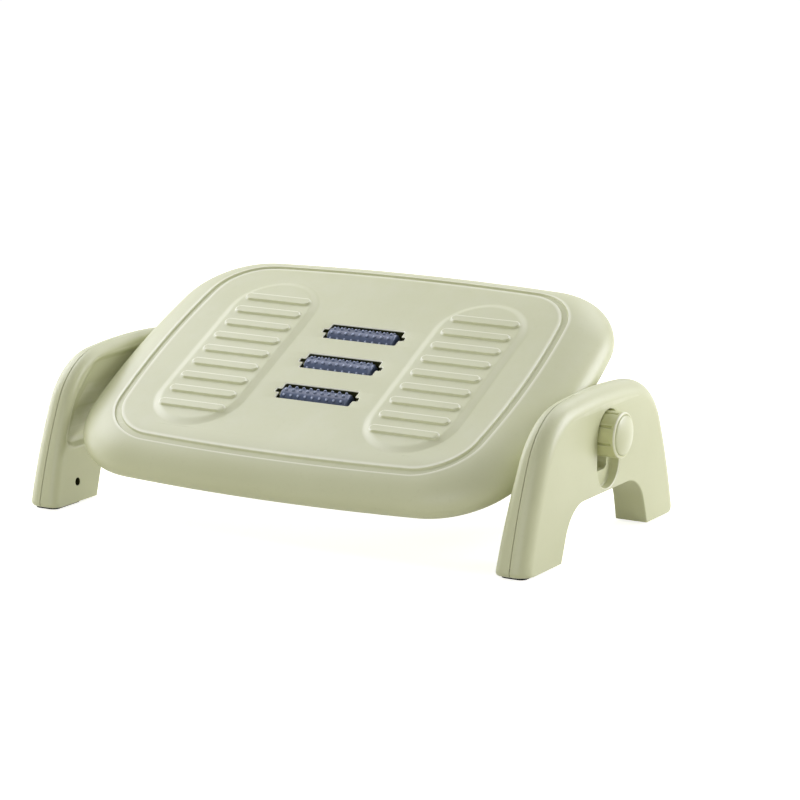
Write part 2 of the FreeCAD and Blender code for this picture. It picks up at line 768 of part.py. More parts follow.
def bowedOutline(insetX, insetY, corner, height):
    """Closed wire round the plate: four bowed sides joined by four round corners."""
    halfWidth = size("plateHalfWidth")
    halfDepth = size("plateHalfDepth")
    sideRadius = (halfDepth**2 + size("sideBow") ** 2) / (2 * size("sideBow"))
    endRadius = (halfWidth**2 + size("endBow") ** 2) / (2 * size("endBow"))
    sideCentre = Vector(halfWidth - sideRadius, 0, 0)
    endCentre = Vector(0, halfDepth - endRadius, 0)
    centre, sideEnd, rearEnd = cornerArc(
        sideCentre, sideRadius - insetX, endCentre, endRadius - insetY, corner, Vector(1, 1, 0)
    )
    cornerMiddle = pointOn(centre, corner, (sideEnd + rearEnd) / 2)
    sideMiddle = Vector(halfWidth - insetX, 0, 0)
    rearMiddle = Vector(0, halfDepth - insetY, 0)
    shift = Vector(0, -size("plateSetback"), height)

    def place(point, acrossX, acrossY):
        return Vector(point.x * acrossX, point.y * acrossY, 0) + shift

    arcs = [
        (place(sideEnd, 1, -1), place(sideMiddle, 1, 1), place(sideEnd, 1, 1)),
        (place(sideEnd, 1, 1), place(cornerMiddle, 1, 1), place(rearEnd, 1, 1)),
        (place(rearEnd, 1, 1), place(rearMiddle, 1, 1), place(rearEnd, -1, 1)),
        (place(rearEnd, -1, 1), place(cornerMiddle, -1, 1), place(sideEnd, -1, 1)),
        (place(sideEnd, -1, 1), place(sideMiddle, -1, 1), place(sideEnd, -1, -1)),
        (place(sideEnd, -1, -1), place(cornerMiddle, -1, -1), place(rearEnd, -1, -1)),
        (place(rearEnd, -1, -1), place(rearMiddle, 1, -1), place(rearEnd, 1, -1)),
        (place(rearEnd, 1, -1), place(cornerMiddle, 1, -1), place(sideEnd, 1, -1)),
    ]
    return Part.Wire([Part.Arc(*points).toShape() for points in arcs])


def plateWire(inset, height):
    return bowedOutline(inset, inset, size("plateCorner") - inset, height)


def prism(wire, rise):
    return Part.Face(wire).extrude(Vector(0, 0, rise))


# sections of the crown between the band and the flat top
crownSteps = 6


def crownedBlank(inset, bottom, rounding):
    """Solid of the plate moved in by the inset: an upright band below an elliptic crown."""
    top = size("plateTopRise") - inset
    band = top - size("crownDrop")
    lower = prism(plateWire(inset, bottom), band - bottom)
    if rounding > 0:
        rim = [edge for edge in lower.Edges if edge.BoundBox.ZMax < bottom + near]
        lower = lower.makeFillet(rounding, rim)
    sections = []
    for step in range(crownSteps + 1):
        angle = math.radians(90 * step / crownSteps)
        moved = inset + size("crownRun") * (1 - math.cos(angle))
        sections.append(plateWire(moved, band + size("crownDrop") * math.sin(angle)))
    crown = Part.makeLoft(sections, True, False)
    return lower.fuse(crown).removeSplitter()


def block(left, right, low, high, bottom, top):
    return Part.makeBox(right - left, high - low, top - bottom, Vector(left, low, bottom))


def flatWire(edges, height):
    wire = Part.Wire([edge.toShape() for edge in edges])
    wire.translate(Vector(0, 0, height))
    return wire


def taperedSolid(lowEdges, highEdges, low, high):
    return Part.makeLoft([flatWire(lowEdges, low), flatWire(highEdges, high)], True, True)


def rollerPlaces():
    """Distance of each roller's axis behind the pivot, nearest the user first."""
    middle = -size("plateSetback + patternSetback")
    return {
        "near": middle - size("rollerPitch"),
        "middle": middle,
        "far": middle + size("rollerPitch"),
    }


def footPattern(direction):
    """Raised foot pad with its row of ribs on one side of the rollers."""
    top = size("plateTopRise")
    centreX = direction * size("padCentreX")
    centreY = -size("plateSetback + patternSetback")
    solids = []

    def stadium(inset):
        halfWidth = size("padHalfWidth") - inset
        reach = size("padHalfDepth") - size("padHalfWidth")
        return uprightSlot(centreX, centreY - reach, centreY + reach, halfWidth)

    slope = size("padRise") * math.tan(math.radians(size("padSlope")))
    sunk = size("plateWall") / 3
    steep = sunk * math.tan(math.radians(size("padSlope")))
    solids.append(taperedSolid(stadium(-steep), stadium(slope), top - sunk, top + size("padRise")))
    count = int(size("ribsPerPad"))
    halfLength = size("ribHalfLength")
    halfWidth = size("ribHalfWidth")
    crest = top + size("padRise + ribRise")
    for number in range(count):
        ribY = centreY + (number - (count - 1) / 2) * size("ribPitch")
        outline = roundedRectangle(
            centreX - halfLength, centreX + halfLength, ribY - halfWidth, ribY + halfWidth, halfWidth
        )
        rib = prism(flatWire(outline, top), crest - top)
        crestEdges = [edge for edge in rib.Edges if edge.BoundBox.ZMin > crest - near]
        solids.append(rib.makeFillet(size("ribRounding"), crestEdges))
    return solids


def rollerWell(places):
    """Closed boxes under the roller windows."""
    top = size("plateTopRise")
    halfLength = size("windowHalfLength + notchLength + wellWall")
    halfDepth = size("windowHalfDepth + wellSideRoom + wellWall")
    floor = top - size("rollerDrop + rollerRadius + nubRise + wellFloorGap")
    bottom = floor - size("wellWall")
    ceiling = top - size("plateWall") / 2
    wells = [block(-halfLength, halfLength, y - halfDepth, y + halfDepth, bottom, ceiling) for y in places]
    return wells, floor


def rollerCuts(place, floor):
    """Window over one roller, with a snap-in saddle for each end of its axle."""
    top = size("plateTopRise")
    axis = top - size("rollerDrop")
    halfLength = size("windowHalfLength")
    halfDepth = size("windowHalfDepth")
    corner = size("windowCorner")
    above = top + overrun

    def window(grow):
        length = halfLength + grow
        depth = halfDepth + grow
        return roundedRectangle(-length, length, place - depth, place + depth, corner + grow)

    opening = prism(flatWire(window(0), floor), above - floor)
    roomy = halfDepth + size("wellSideRoom")
    room = block(-halfLength, halfLength, place - roomy, place + roomy, floor, top - size("plateWall"))
    bevel = size("windowBevel")
    edge = taperedSolid(window(0), window(bevel + overrun), top - bevel, above)
    reach = size("windowHalfLength + notchLength")
    notch = size("notchHalfDepth")
    throat = size("throatWidth / 2")
    mouth = axis + size("throatHeight")
    notches = block(-reach, reach, place - notch, place + notch, mouth, above)
    throats = block(-reach, reach, place - throat, place + throat, axis, above)
    bore = size("axleRadius + boreClearance")
    saddle = Part.makeCylinder(bore, 2 * reach, Vector(-reach, place, axis), Vector(1, 0, 0))
    return [opening, room, edge, notches, throats, saddle]


def pedalEar(direction, heart):
    """Ear that hangs from the side of the plate, with a boss facing the leg."""
    inner = size("earInnerX")
    thickness = size("earOuterX - earInnerX")
    radius = size("earRadius")
    spread = radius + size("earSpread")
    bottom = size("plateTopRise - crownDrop - bandHeight")
    top = size("plateTopRise")
    points = [(-radius, 0), (-spread, bottom), (-spread, top), (spread, top), (spread, bottom), (radius, 0)]
    corners = [Vector(inner, y, z) for y, z in points]
    outward = Vector(thickness, 0, 0)
    web = Part.Face(Part.makePolygon(corners + corners[:1])).extrude(outward)
    disc = Part.makeCylinder(radius, thickness, Vector(inner, 0, 0), Vector(1, 0, 0))
    faceX = size("scoopX - facePlay")
    boss = Part.makeCylinder(size("earBossRadius"), faceX - inner, Vector(inner, 0, 0), Vector(1, 0, 0))
    ease = overrun / 2
    aboveBoss = size("earBossRadius") + ease
    below = block(inner - ease, faceX + ease, -spread - ease, spread + ease, -2 * radius, aboveBoss)
    ear = web.fuse([disc, boss]).common(heart.fuse(below))
    half = size("boltNeckSide / 2 + boreClearance")
    neckEnd = inner + size("boltNeckLength + boreClearance")
    neck = block(inner - overrun, neckEnd, -half, half, -half, half)
    boreRadius = size("boltRadius + boreClearance")
    boreLength = faceX + overrun - inner
    bore = Part.makeCylinder(boreRadius, boreLength, Vector(inner, 0, 0), Vector(1, 0, 0))
    holes = neck.fuse(bore)
    if direction < 0:
        ear = ear.mirror(Vector(0, 0, 0), Vector(1, 0, 0))
        holes = holes.mirror(Vector(0, 0, 0), Vector(1, 0, 0))
    return ear, holes


def stiffeningRibs(heart):
    """Grid of ribs under the plate, between and beside the roller wells."""
    top = size("plateTopRise")
    low = top - size("plateWall + ribDepth")
    half = size("ribWall") / 2
    width = size("plateHalfWidth")
    depth = size("plateHalfDepth") * 2
    middle = rollerPlaces()["middle"]
    ribs = []
    betweenWells = (-2.5, -1.5, -0.5, 0.5, 1.5, 2.5)
    for step in betweenWells:
        y = middle + step * size("rollerPitch")
        ribs.append(block(-width, width, y - half, y + half, low, top))
    besideWells = (-3, -2, -1, 1, 2, 3)
    for step in besideWells:
        x = step * size("crossRibPitch")
        ribs.append(block(x - half, x + half, -depth, depth, low, top))
    return [rib.common(heart) for rib in ribs]


def makePedalPlate():
    """Crowned tray with a border groove, ribbed foot pads, roller wells and two ears.

    The heart is a solid that ends inside the tray's wall: ribs and ears are trimmed to it.
    """
    top = size("plateTopRise")
    bottom = top - size("crownDrop + bandHeight")
    ledge = bottom + size("lipThickness")
    wall = size("plateWall")
    blank = crownedBlank(0, bottom, size("lipRounding"))
    hollow = crownedBlank(wall, ledge, 0)
    mouth = prism(plateWire(size("lipWidth"), bottom - overrun), ledge - bottom + 2 * overrun)
    heart = crownedBlank(wall / 2, (bottom + ledge) / 2, 0)
    places = rollerPlaces()
    wells, floor = rollerWell(places.values())
    plate = blank.cut([hollow, mouth])
    ears = [pedalEar(direction, heart) for direction in (1, -1)]
    added = wells + stiffeningRibs(heart) + [ear for ear, holes in ears]
    for direction in (1, -1):
        added += footPattern(direction)
    plate = plate.fuse(added)
    insetX = size("borderInsetX")
    insetY = size("borderInsetY")
    corner = size("borderCorner")
    half = size("borderWidth / 2")
    low = top - size("crownDrop")
    outside = prism(bowedOutline(insetX - half, insetY - half, corner + half, low), 2 * size("crownDrop"))
    inside = prism(bowedOutline(insetX + half, insetY + half, corner - half, low), 2 * size("crownDrop"))
    lowered = blank.copy()
    lowered.translate(Vector(0, 0, -size("borderDepth")))
    groove = outside.cut([inside, lowered])
    cuts = [groove] + [holes for ear, holes in ears]
    for place in places.values():
        cuts += rollerCuts(place, floor)
    plate = plate.cut(cuts).removeSplitter()
    feature = document.addObject("Part::Feature", "pedal_plate")
    feature.Label = "pedal_plate"
    feature.Shape = plate.Solids[0] if len(plate.Solids) == 1 else plate
    return feature


def makeRoller(name):
    """Roller with rows of small blunt nubs round it and a bore for its axle."""
    body = newBody(f"{name}_roller")
    section = newSketch(body, "Section", "YZ_Plane", 0)
    addCircle(section, "0", "0", "rollerRadius")
    addCircle(section, "0", "0", "axleRadius + boreClearance")
    core = addFeature(body, "Pad", "Core", section, "2 * rollerHalfLength", both=True)
    rimSize = size("rollerRadius")

    def rim(edge):
        box = edge.BoundBox
        return box.XLength < near and box.ZLength > rimSize

    addFillet(body, "RimRounding", core, "rollerBevel", rim)
    embed = size("nubRise")
    row = newSketch(body, "NubRow", "XY_Plane", f"rollerRadius - {embed}")
    count = int(size("nubsPerRow"))
    for number in range(count):
        addCircle(row, f"{number - (count - 1) / 2} * nubPitch", "0", "nubRadius")
    nubs = body.newObject("PartDesign::Pad", "Nubs")
    nubs.Profile = row
    nubs.setExpression("Length", bound("2 * nubRise"))
    nubs.setExpression("TaperAngle", bound("-nubTaper"))
    document.recompute()
    pattern = body.newObject("PartDesign::PolarPattern", "Rows")
    pattern.Originals = [nubs]
    pattern.Axis = (originPlane(body, "X_Axis"), [""])
    pattern.Angle = 360
    pattern.setExpression("Occurrences", bound("nubRows"))
    body.Tip = pattern
    document.recompute()
    return body


def makeAxle(name):
    body = newBody(f"{name}_roller_axle")
    section = newSketch(body, "Section", "YZ_Plane", 0)
    addCircle(section, "0", "0", "axleRadius")
    addFeature(body, "Pad", "Pin", section, "2 * axleHalfLength", both=True)
    return body


def about(y, z, turn):
    """Placement that turns about the X axis and then moves in the Y Z plane."""
    return FreeCAD.Placement(Vector(0, y, z), FreeCAD.Rotation(Vector(1, 0, 0), turn))


def mirrored(piece):
    """The same piece on the other side of the footrest."""
    twin = document.addObject("Part::Mirroring", piece.Label.replace("right", "left"))
    twin.Label = piece.Label.replace("right", "left")
    twin.Source = piece
    twin.Normal = Vector(1, 0, 0)
    twin.Base = Vector(0, 0, 0)
    return twin


def assemble():
    """Build every piece and set it in its place; give the list of pieces."""
    atPivot = about(size("pivotY"), size("pivotHeight"), 0)
    tilted = about(size("pivotY"), size("pivotHeight"), size("restTilt"))
    still = about(0, 0, 0)
    sidePieces = [
        (makeOuterShell(), still),
        (makeInnerShell(), still),
        (makeFootPad(True), still),
        (makeFootPad(False), still),
        (makeLegScrews(), still),
        (makeSlotBush(), still),
        (makePivotBolt(), tilted),
        (makeWasher(), atPivot),
        (makeNut(), atPivot),
        (makeKnobBody(), atPivot),
        (makeKnobCap(), atPivot),
    ]
    middlePieces = [(makePedalPlate(), tilted)]
    rowAngle = 360 / size("nubRows")
    axis = size("plateTopRise - rollerDrop")
    for name, place in rollerPlaces().items():
        turn = rowAngle / 2 if name == "near" else 0
        middlePieces.append((makeRoller(name), tilted * about(place, axis, turn)))
        middlePieces.append((makeAxle(name), tilted * about(place, axis, 0)))
    for piece, placement in sidePieces + middlePieces:
        piece.Placement = placement
    document.recompute()
    front, rear = footprint([piece.Shape for piece, placement in sidePieces + middlePieces])
    centring = about(-(front + rear) / 2, 0, 0)
    for piece, placement in sidePieces + middlePieces:
        piece.Placement = centring * placement
    twins = [mirrored(piece) for piece, placement in sidePieces]
    document.recompute()
    return [piece for piece, placement in sidePieces + middlePieces] + twins


def footprint(shapes):
    """Foremost and rearmost places of the given shapes."""
    boxes = [shape.optimalBoundingBox(False) for shape in shapes]
    return min(box.YMin for box in boxes), max(box.YMax for box in boxes)


def check(pieces):
    for thing in document.Objects:
        if "Invalid" in thing.State or "Error" in thing.State:
            raise RuntimeError(f"{thing.Label} was not built: {thing.State}")
    for piece in pieces:
        if piece.Shape.isNull() or not piece.Shape.isValid():
            raise RuntimeError(f"{piece.Label} has no valid shape")


pieces = assemble()
check(pieces)
os.makedirs("parts", exist_ok=True)
for piece in pieces:
    piece.Shape.exportStep(f"parts/{piece.Label}.step")
    box = piece.Shape.optimalBoundingBox(False)
    print(
        f"{piece.Label}: {len(piece.Shape.Solids)} solid(s), {piece.Shape.Volume:.0f} mm3,",
        f"X {box.XMin:.1f}..{box.XMax:.1f} Y {box.YMin:.1f}..{box.YMax:.1f} Z {box.ZMin:.1f}..{box.ZMax:.1f}",
    )
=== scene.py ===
import json
import math

import bmesh
import bpy
import numpy as np
from mathutils import Matrix, Vector
from mathutils.geometry import tessellate_polygon


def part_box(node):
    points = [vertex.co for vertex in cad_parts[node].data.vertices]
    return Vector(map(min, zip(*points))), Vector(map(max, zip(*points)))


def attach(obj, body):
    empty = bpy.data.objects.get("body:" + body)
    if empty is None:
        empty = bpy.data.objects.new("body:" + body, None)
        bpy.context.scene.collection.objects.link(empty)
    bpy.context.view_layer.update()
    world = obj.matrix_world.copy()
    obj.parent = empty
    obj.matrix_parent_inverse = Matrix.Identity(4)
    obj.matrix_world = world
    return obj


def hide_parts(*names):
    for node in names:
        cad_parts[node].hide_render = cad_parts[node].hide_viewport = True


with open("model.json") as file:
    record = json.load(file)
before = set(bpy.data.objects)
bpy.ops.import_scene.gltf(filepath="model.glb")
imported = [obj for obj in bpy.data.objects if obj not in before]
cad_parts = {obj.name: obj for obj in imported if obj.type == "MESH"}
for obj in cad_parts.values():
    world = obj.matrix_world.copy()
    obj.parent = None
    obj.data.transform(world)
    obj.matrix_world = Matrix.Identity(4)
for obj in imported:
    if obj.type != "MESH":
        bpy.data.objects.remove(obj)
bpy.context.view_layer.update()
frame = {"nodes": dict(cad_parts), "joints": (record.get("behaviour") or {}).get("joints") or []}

# Massage roller footrest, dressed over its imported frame.
# Lengths in the piece dictionaries are millimetres; every mesh is made in metres.

mm = 0.001
joints = {joint["name"]: joint for joint in frame["joints"]}
pivot = Vector(joints["pedal_tilt"]["pos_m"])
restTilt = math.radians(-joints["pedal_tilt"]["range_deg"][0])
legBox = [np.array(corner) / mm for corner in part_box("right_leg_outer_shell")]
legMiddleY = (legBox[0][1] + legBox[1][1]) / 2  # the frame is centred on the whole footrest
sides = {"right": 1, "left": -1}


# Plane outlines: every loop is an array of points, counter-clockwise

def unit(vector):
    return vector / np.hypot(*vector)


def touchingCorner(centreA, radiusA, centreB, radiusB, radius, outward):
    between = centreB - centreA
    distance = np.hypot(*between)
    along = (distance**2 + (radiusA - radius) ** 2 - (radiusB - radius) ** 2) / (2 * distance)
    across = math.sqrt((radiusA - radius) ** 2 - along**2)
    direction = between / distance
    foot = centreA + direction * along
    normal = np.array([-direction[1], direction[0]]) * across
    centre = max(foot + normal, foot - normal, key=lambda point: float(point @ outward))
    return centre, centreA + unit(centre - centreA) * radiusA, centreB + unit(centre - centreB) * radiusB


def arcPoints(centre, start, end, steps):
    first = math.atan2(*(start - centre)[::-1])
    last = math.atan2(*(end - centre)[::-1])
    turn = (last - first + math.pi) % (2 * math.pi) - math.pi
    radius = np.hypot(*(start - centre))
    angles = first + turn * np.arange(steps) / steps
    return centre + radius * np.column_stack([np.cos(angles), np.sin(angles)])


def linePoints(start, end, steps):
    return start + (end - start) * (np.arange(steps) / steps)[:, None]


def roundedLoop(corners, radii, arcSteps=6, lineSteps=1):
    # corners are joined by straight runs; radii round them, convex or hollow alike
    corners = [np.array(corner, float) for corner in corners]
    bends = []
    for index, corner in enumerate(corners):
        before = unit(corners[index - 1] - corner)
        after = unit(corners[(index + 1) % len(corners)] - corner)
        half = math.acos(np.clip(float(before @ after), -1, 1)) / 2
        reach = radii[index] / math.tan(half)
        centre = corner + unit(before + after) * radii[index] / math.sin(half)
        bends.append((centre, corner + before * reach, corner + after * reach))
    points = []
    for (centre, start, end), following in zip(bends, bends[1:] + bends[:1]):
        points.append(arcPoints(centre, start, end, arcSteps))
        points.append(linePoints(end, following[1], lineSteps))
    return np.concatenate(points)


def boxCorners(halfX, halfY):
    return [(halfX, -halfY), (halfX, halfY), (-halfX, halfY), (-halfX, -halfY)]


def circleLoop(centre, radius, steps):
    angles = 2 * math.pi * np.arange(steps) / steps
    return np.array(centre) + radius * np.column_stack([np.cos(angles), np.sin(angles)])


def quarterTurn(step, stop=91):
    # inset and rise, as shares of the radius, at even angles round an edge
    return [(1 - math.cos(turn), 1 - math.sin(turn)) for turn in np.radians(np.arange(0, stop, step))]


def level(points, height):
    # lays (x, y) points at a height
    return np.column_stack([points, np.full(len(points), height)])


def onSide(points, x):
    # lays (y, z) points on the plane or surface x
    points = np.array(points, float)
    return np.column_stack([np.full(len(points), 1.0) * x, points])


def planView(point):
    return point[:2]


def sideView(point):
    return point[1:3]


# Mesh making

def addThing(name, data):
    thing = bpy.data.objects.new(name, data)
    bpy.context.scene.collection.objects.link(thing)
    return thing


class Maker:
    def __init__(self):
        self.points = []
        self.highlights = []
        self.faces = []
        self.marks = []
        self.mark = 0

    def loop(self, points, highlight=0.0):
        # highlight tells how strongly a painted highlight lies on the points, 0 to 1
        first = len(self.points)
        self.points.extend([tuple(point) for point in points])
        self.highlights.extend(np.full(len(points), 1.0) * highlight)
        return list(range(first, len(self.points)))

    def face(self, indices):
        self.faces.append(tuple(indices))
        self.marks.append(self.mark)

    def bridge(self, inner, outer):
        for step in range(len(inner)):
            following = (step + 1) % len(inner)
            self.face((inner[step], outer[step], outer[following], inner[following]))

    def bridgeAll(self, loops):
        for inner, outer in zip(loops, loops[1:]):
            self.bridge(inner, outer)

    def fill(self, outer, holes, flatten, flip=False):
        # flatten gives the plane coordinates of a point, in which the area is triangulated
        order = [index for loop in [outer] + holes for index in loop]
        lines = []
        for loop in [outer] + holes:
            lines.append([Vector((*flatten(self.points[index]), 0)) for index in loop])
        for triangle in tessellate_polygon(lines):
            corners = [order[index] for index in triangle]
            flat = [flatten(self.points[index]) for index in corners]
            (ax, ay), (bx, by), (cx, cy) = flat
            ahead = (bx - ax) * (cy - ay) - (by - ay) * (cx - ax)
            if abs(ahead) < 1e-12:
                continue
            if (ahead < 0) != flip:
                corners.reverse()
            self.face(corners)

    def piece(self, name, body, materials, place, closed=False):
        mesh = bpy.data.meshes.new(name)
        mesh.from_pydata([tuple(point) for point in np.array(self.points) * mm], [], self.faces)
        mesh.polygons.foreach_set("material_index", np.array(self.marks, dtype=np.int32))
        # each point's share of painted highlight, kept for the materials
        highlight = mesh.attributes.new("highlight", "FLOAT", "POINT")
        highlight.data.foreach_set("value", np.array(self.highlights, dtype=np.float32))
        thing = addThing(name, mesh)
        mesh.transform(place)
        if place.determinant() < 0:
            mesh.flip_normals()
        if closed:
            work = bmesh.new()
            work.from_mesh(mesh)
            bmesh.ops.recalc_face_normals(work, faces=work.faces)
            work.to_mesh(mesh)
            work.free()
        mesh.polygons.foreach_set("use_smooth", np.ones(len(mesh.polygons), dtype=bool))
        mesh.update()
        for material in materials:
            mesh.materials.append(material)
        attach(thing, body)
        return thing


def smoothByAngle(thing, degrees):
    # sharp edges where the faces meet at more than the angle
    thing.data.set_sharp_from_angle(angle=math.radians(degrees))


def edgeHighlight(amount, inset):
    # only the middle of a rounded edge gets a painted highlight
    return amount if 0.05 < inset < 0.95 else 0.0


def sidePlace(side, move=(0, legMiddleY * mm, 0)):
    # where a piece of the right side goes, mirrored for the left
    return Matrix.Translation(move) @ Matrix.Scale(sides[side], 4, (1, 0, 0))


def smoothStep(low, high, value):
    ratio = np.clip((value - low) / (high - low), 0, 1)
    return ratio * ratio * (3 - 2 * ratio)


def segmentDistance(x, y, startX, startY, endX, endY):
    lengthX = endX - startX
    lengthY = endY - startY
    along = ((x - startX) * lengthX + (y - startY) * lengthY) / (lengthX**2 + lengthY**2)
    along = np.clip(along, 0, 1)
    return np.hypot(x - startX - along * lengthX, y - startY - along * lengthY)


# Pedal plate

plate = {
    "halfWidth": 225.0, "halfDepth": 160.0, "sideBow": 16.0, "endBow": 11.3, "corner": 80.0,
    "sideSteps": 20, "cornerSteps": 28, "endSteps": 28,
    "setback": 6.1, "topRise": 48.6, "crownDrop": 25.0, "crownRun": 45.0, "roundTo": 43, "roundStep": 3,
    "bandHeight": 9.5, "lipRounding": 7.0, "lipWidth": 9.5, "lipThickness": 4.0, "lipEdge": 0.4, "wall": 3.0,
    # insets from the side and end, corner radius
    "groove": (41.0, 26.0, 52.0), "inside": (58.0, 42.6, 37.0),
    "grooveHalf": 3.4, "grooveFloor": 2.3, "grooveEdge": 0.45, "grooveDepth": 1.9, "grooveHighlight": 0.6,
    "grooveFine": 0.25, "grooveWide": 0.9, "topRings": 10, "insideRings": 5,
    "ribHalf": 1.1, "ribDraft": 0.1, "ribDepth": 14.0, "ribPitch": 54.0, "ribSink": 1.0, "ribRounding": 0.5,
    "ribStations": 121, "smooth": 40,
}
plate["sideRadius"] = (plate["halfDepth"] ** 2 + plate["sideBow"] ** 2) / (2 * plate["sideBow"])
plate["endRadius"] = (plate["halfWidth"] ** 2 + plate["endBow"] ** 2) / (2 * plate["endBow"])
sideCentre = np.array([plate["halfWidth"] - plate["sideRadius"], 0.0])
endCentre = np.array([0.0, plate["halfDepth"] - plate["endRadius"]])
plateMatrix = Matrix.Translation(pivot) @ Matrix.Rotation(restTilt, 4, "X")


def plateCorner(insetX, insetY, radius):
    # the arc that joins the bowed side and end of the outline: its centre and both its ends
    return touchingCorner(
        sideCentre, plate["sideRadius"] - insetX, endCentre, plate["endRadius"] - insetY,
        radius, np.array([1.0, 1.0]),
    )


def plateLoop(insetX, insetY, corner):
    centre, sideEnd, rearEnd = plateCorner(insetX, insetY, corner)
    sideMiddle = np.array([plate["halfWidth"] - insetX, 0.0])
    rearMiddle = np.array([0.0, plate["halfDepth"] - insetY])
    quarter = np.concatenate([
        arcPoints(sideCentre, sideMiddle, sideEnd, plate["sideSteps"]),
        arcPoints(centre, sideEnd, rearEnd, plate["cornerSteps"]),
        arcPoints(endCentre, rearEnd, rearMiddle, plate["endSteps"]),
        [rearMiddle],
    ])
    return np.concatenate([
        quarter[:-1],
        (quarter[::-1] * [-1, 1])[:-1],
        (quarter * [-1, -1])[:-1],
        (quarter[::-1] * [1, -1])[:-1],
    ])


def insetLoop(inset):
    return plateLoop(inset, inset, plate["corner"] - inset)


def crownFall(x, y):
    # how far the crown lies below the top plane, from the distance to the plate's outline
    x, y = np.abs(x), np.abs(y)
    centre, sideEnd, rearEnd = plateCorner(0, 0, plate["corner"])
    side = plate["sideRadius"] - np.hypot(x - sideCentre[0], y)
    end = plate["endRadius"] - np.hypot(x, y - endCentre[1])
    corner = plate["corner"] - np.hypot(x - centre[0], y - centre[1])
    angle = np.arctan2(y - centre[1], x - centre[0])
    low = math.atan2(*(sideEnd - centre)[::-1])
    high = math.atan2(*(rearEnd - centre)[::-1])
    distance = np.where((angle > low) & (angle < high), corner, np.minimum(side, end))
    ratio = np.clip((plate["crownRun"] - distance) / plate["crownRun"], 0, 1)
    return plate["crownDrop"] * (1 - np.sqrt(np.clip(1 - ratio**2, 0, 1)))


tread = {
    "centreX": 106.5, "shiftX": 1.4, "centreY": -3.1,
    "halfWidth": 46.4, "halfDepth": 110.0, "rise": 2.2, "slope": 10.0, "slopeHighlight": 0.15,
    "ribCount": 9, "ribPitch": 20.3, "ribShiftX": 0.4, "ribShiftY": -2.3, "ribRise": 1.9, "ribHighlight": 0.9,
    "ribHalfLength": 34.3, "ribHalfWidth": 4.9, "ribCrown": 3.9, "rimShift": 0.3, "farHighlight": 0.9,
    "margin": 1.0, "endMargin": 0.8, "endHalf": 12.0, "fineBand": 20.0,  # the grid that covers a pad
    "fineStep": 0.6, "wideStep": 1.9, "endStep": 0.9, "gapStep": 2.2, "edgeStep": 0.35, "crownStep": 1.1,
    "edgeRoom": 0.4, "crownRoom": 0.3,
}


def ribPlaces():
    numbers = np.arange(tread["ribCount"]) - (tread["ribCount"] - 1) / 2
    return numbers * tread["ribPitch"] + tread["ribShiftY"]


def ribDistances(x, y):
    # from points about a pad's middle to each rib's middle line, with the rib's place
    half = tread["ribHalfLength"] - tread["ribHalfWidth"]
    x = x - tread["ribShiftX"]
    return [(segmentDistance(x, y, -half, ribY, half, ribY), ribY) for ribY in ribPlaces()]


def padInside(x, y):
    # how far inside the round-ended outline of a pad
    reach = tread["halfDepth"] - tread["halfWidth"]
    return tread["halfWidth"] - segmentDistance(x, y, 0, -reach, 0, reach)


def treadHeight(x, y):
    # height of a raised foot pad and its ribs over the top plane
    height = tread["rise"] * smoothStep(0, tread["slope"], padInside(x, y))
    for distance, ribY in ribDistances(x, y):
        rise = 1 - smoothStep(tread["ribCrown"], tread["ribHalfWidth"], distance)
        height = height + tread["ribRise"] * rise
    return height


def treadHighlight(x, y):
    # a painted highlight lies on the slope of a pad, and on the far rim and the left end of each rib, the
    # sides that face the lamps
    half = tread["ribHalfLength"] - tread["ribHalfWidth"]
    rimMiddle = (tread["ribHalfWidth"] + tread["ribCrown"]) / 2 - tread["rimShift"]
    leftEnd = smoothStep(half - 1, half + 1.5, tread["ribShiftX"] - x)
    slopeMiddle = tread["slope"] / 2
    band = np.abs(padInside(x, y) - slopeMiddle)
    highlight = tread["slopeHighlight"] * (1 - smoothStep(1, slopeMiddle, band))
    for distance, ribY in ribDistances(x, y):
        rim = 1 - smoothStep(0.3, 0.9, np.abs(distance - rimMiddle))
        farSide = tread["farHighlight"] * smoothStep(-0.5, 1.5, y - ribY)
        highlight = np.maximum(highlight, tread["ribHighlight"] * rim * np.maximum(farSide, leftEnd))
    return highlight


def spread(*runs):
    # grid lines from runs of (start, end, step)
    lines = []
    for start, end, step in runs:
        count = max(1, round((end - start) / step))
        lines.extend(start + (end - start) * np.arange(count) / count)
    lines.append(runs[-1][1])
    return np.array(lines)


def treadGrid():
    # points over one pad from its middle, in rows that follow the pad's round ends
    half = tread["halfWidth"]
    reach = half + tread["margin"]
    inner = half - tread["fineBand"]
    fine, wide = tread["fineStep"], tread["wideStep"]
    across = spread((-reach, -inner, fine), (-inner, inner, wide), (inner, reach, fine))
    edge = tread["ribHalfWidth"] + tread["edgeRoom"]
    crown = tread["ribCrown"] - tread["crownRoom"]
    end = tread["halfDepth"] + tread["endMargin"]
    runs = []
    low, step = -end, tread["endStep"]
    for ribY in ribPlaces():
        runs.append((low, ribY - edge, step))
        runs.append((ribY - edge, ribY - crown, tread["edgeStep"]))
        runs.append((ribY - crown, ribY + crown, tread["crownStep"]))
        runs.append((ribY + crown, ribY + edge, tread["edgeStep"]))
        low, step = ribY + edge, tread["gapStep"]
    runs.append((low, end, tread["endStep"]))
    x, y = np.meshgrid(across, spread(*runs))
    past = np.clip(np.abs(y) - tread["halfDepth"] + half, 0, None)
    rowHalf = np.sqrt(np.clip(reach**2 - past**2, tread["endHalf"] ** 2, None))
    return x * rowHalf / reach, y


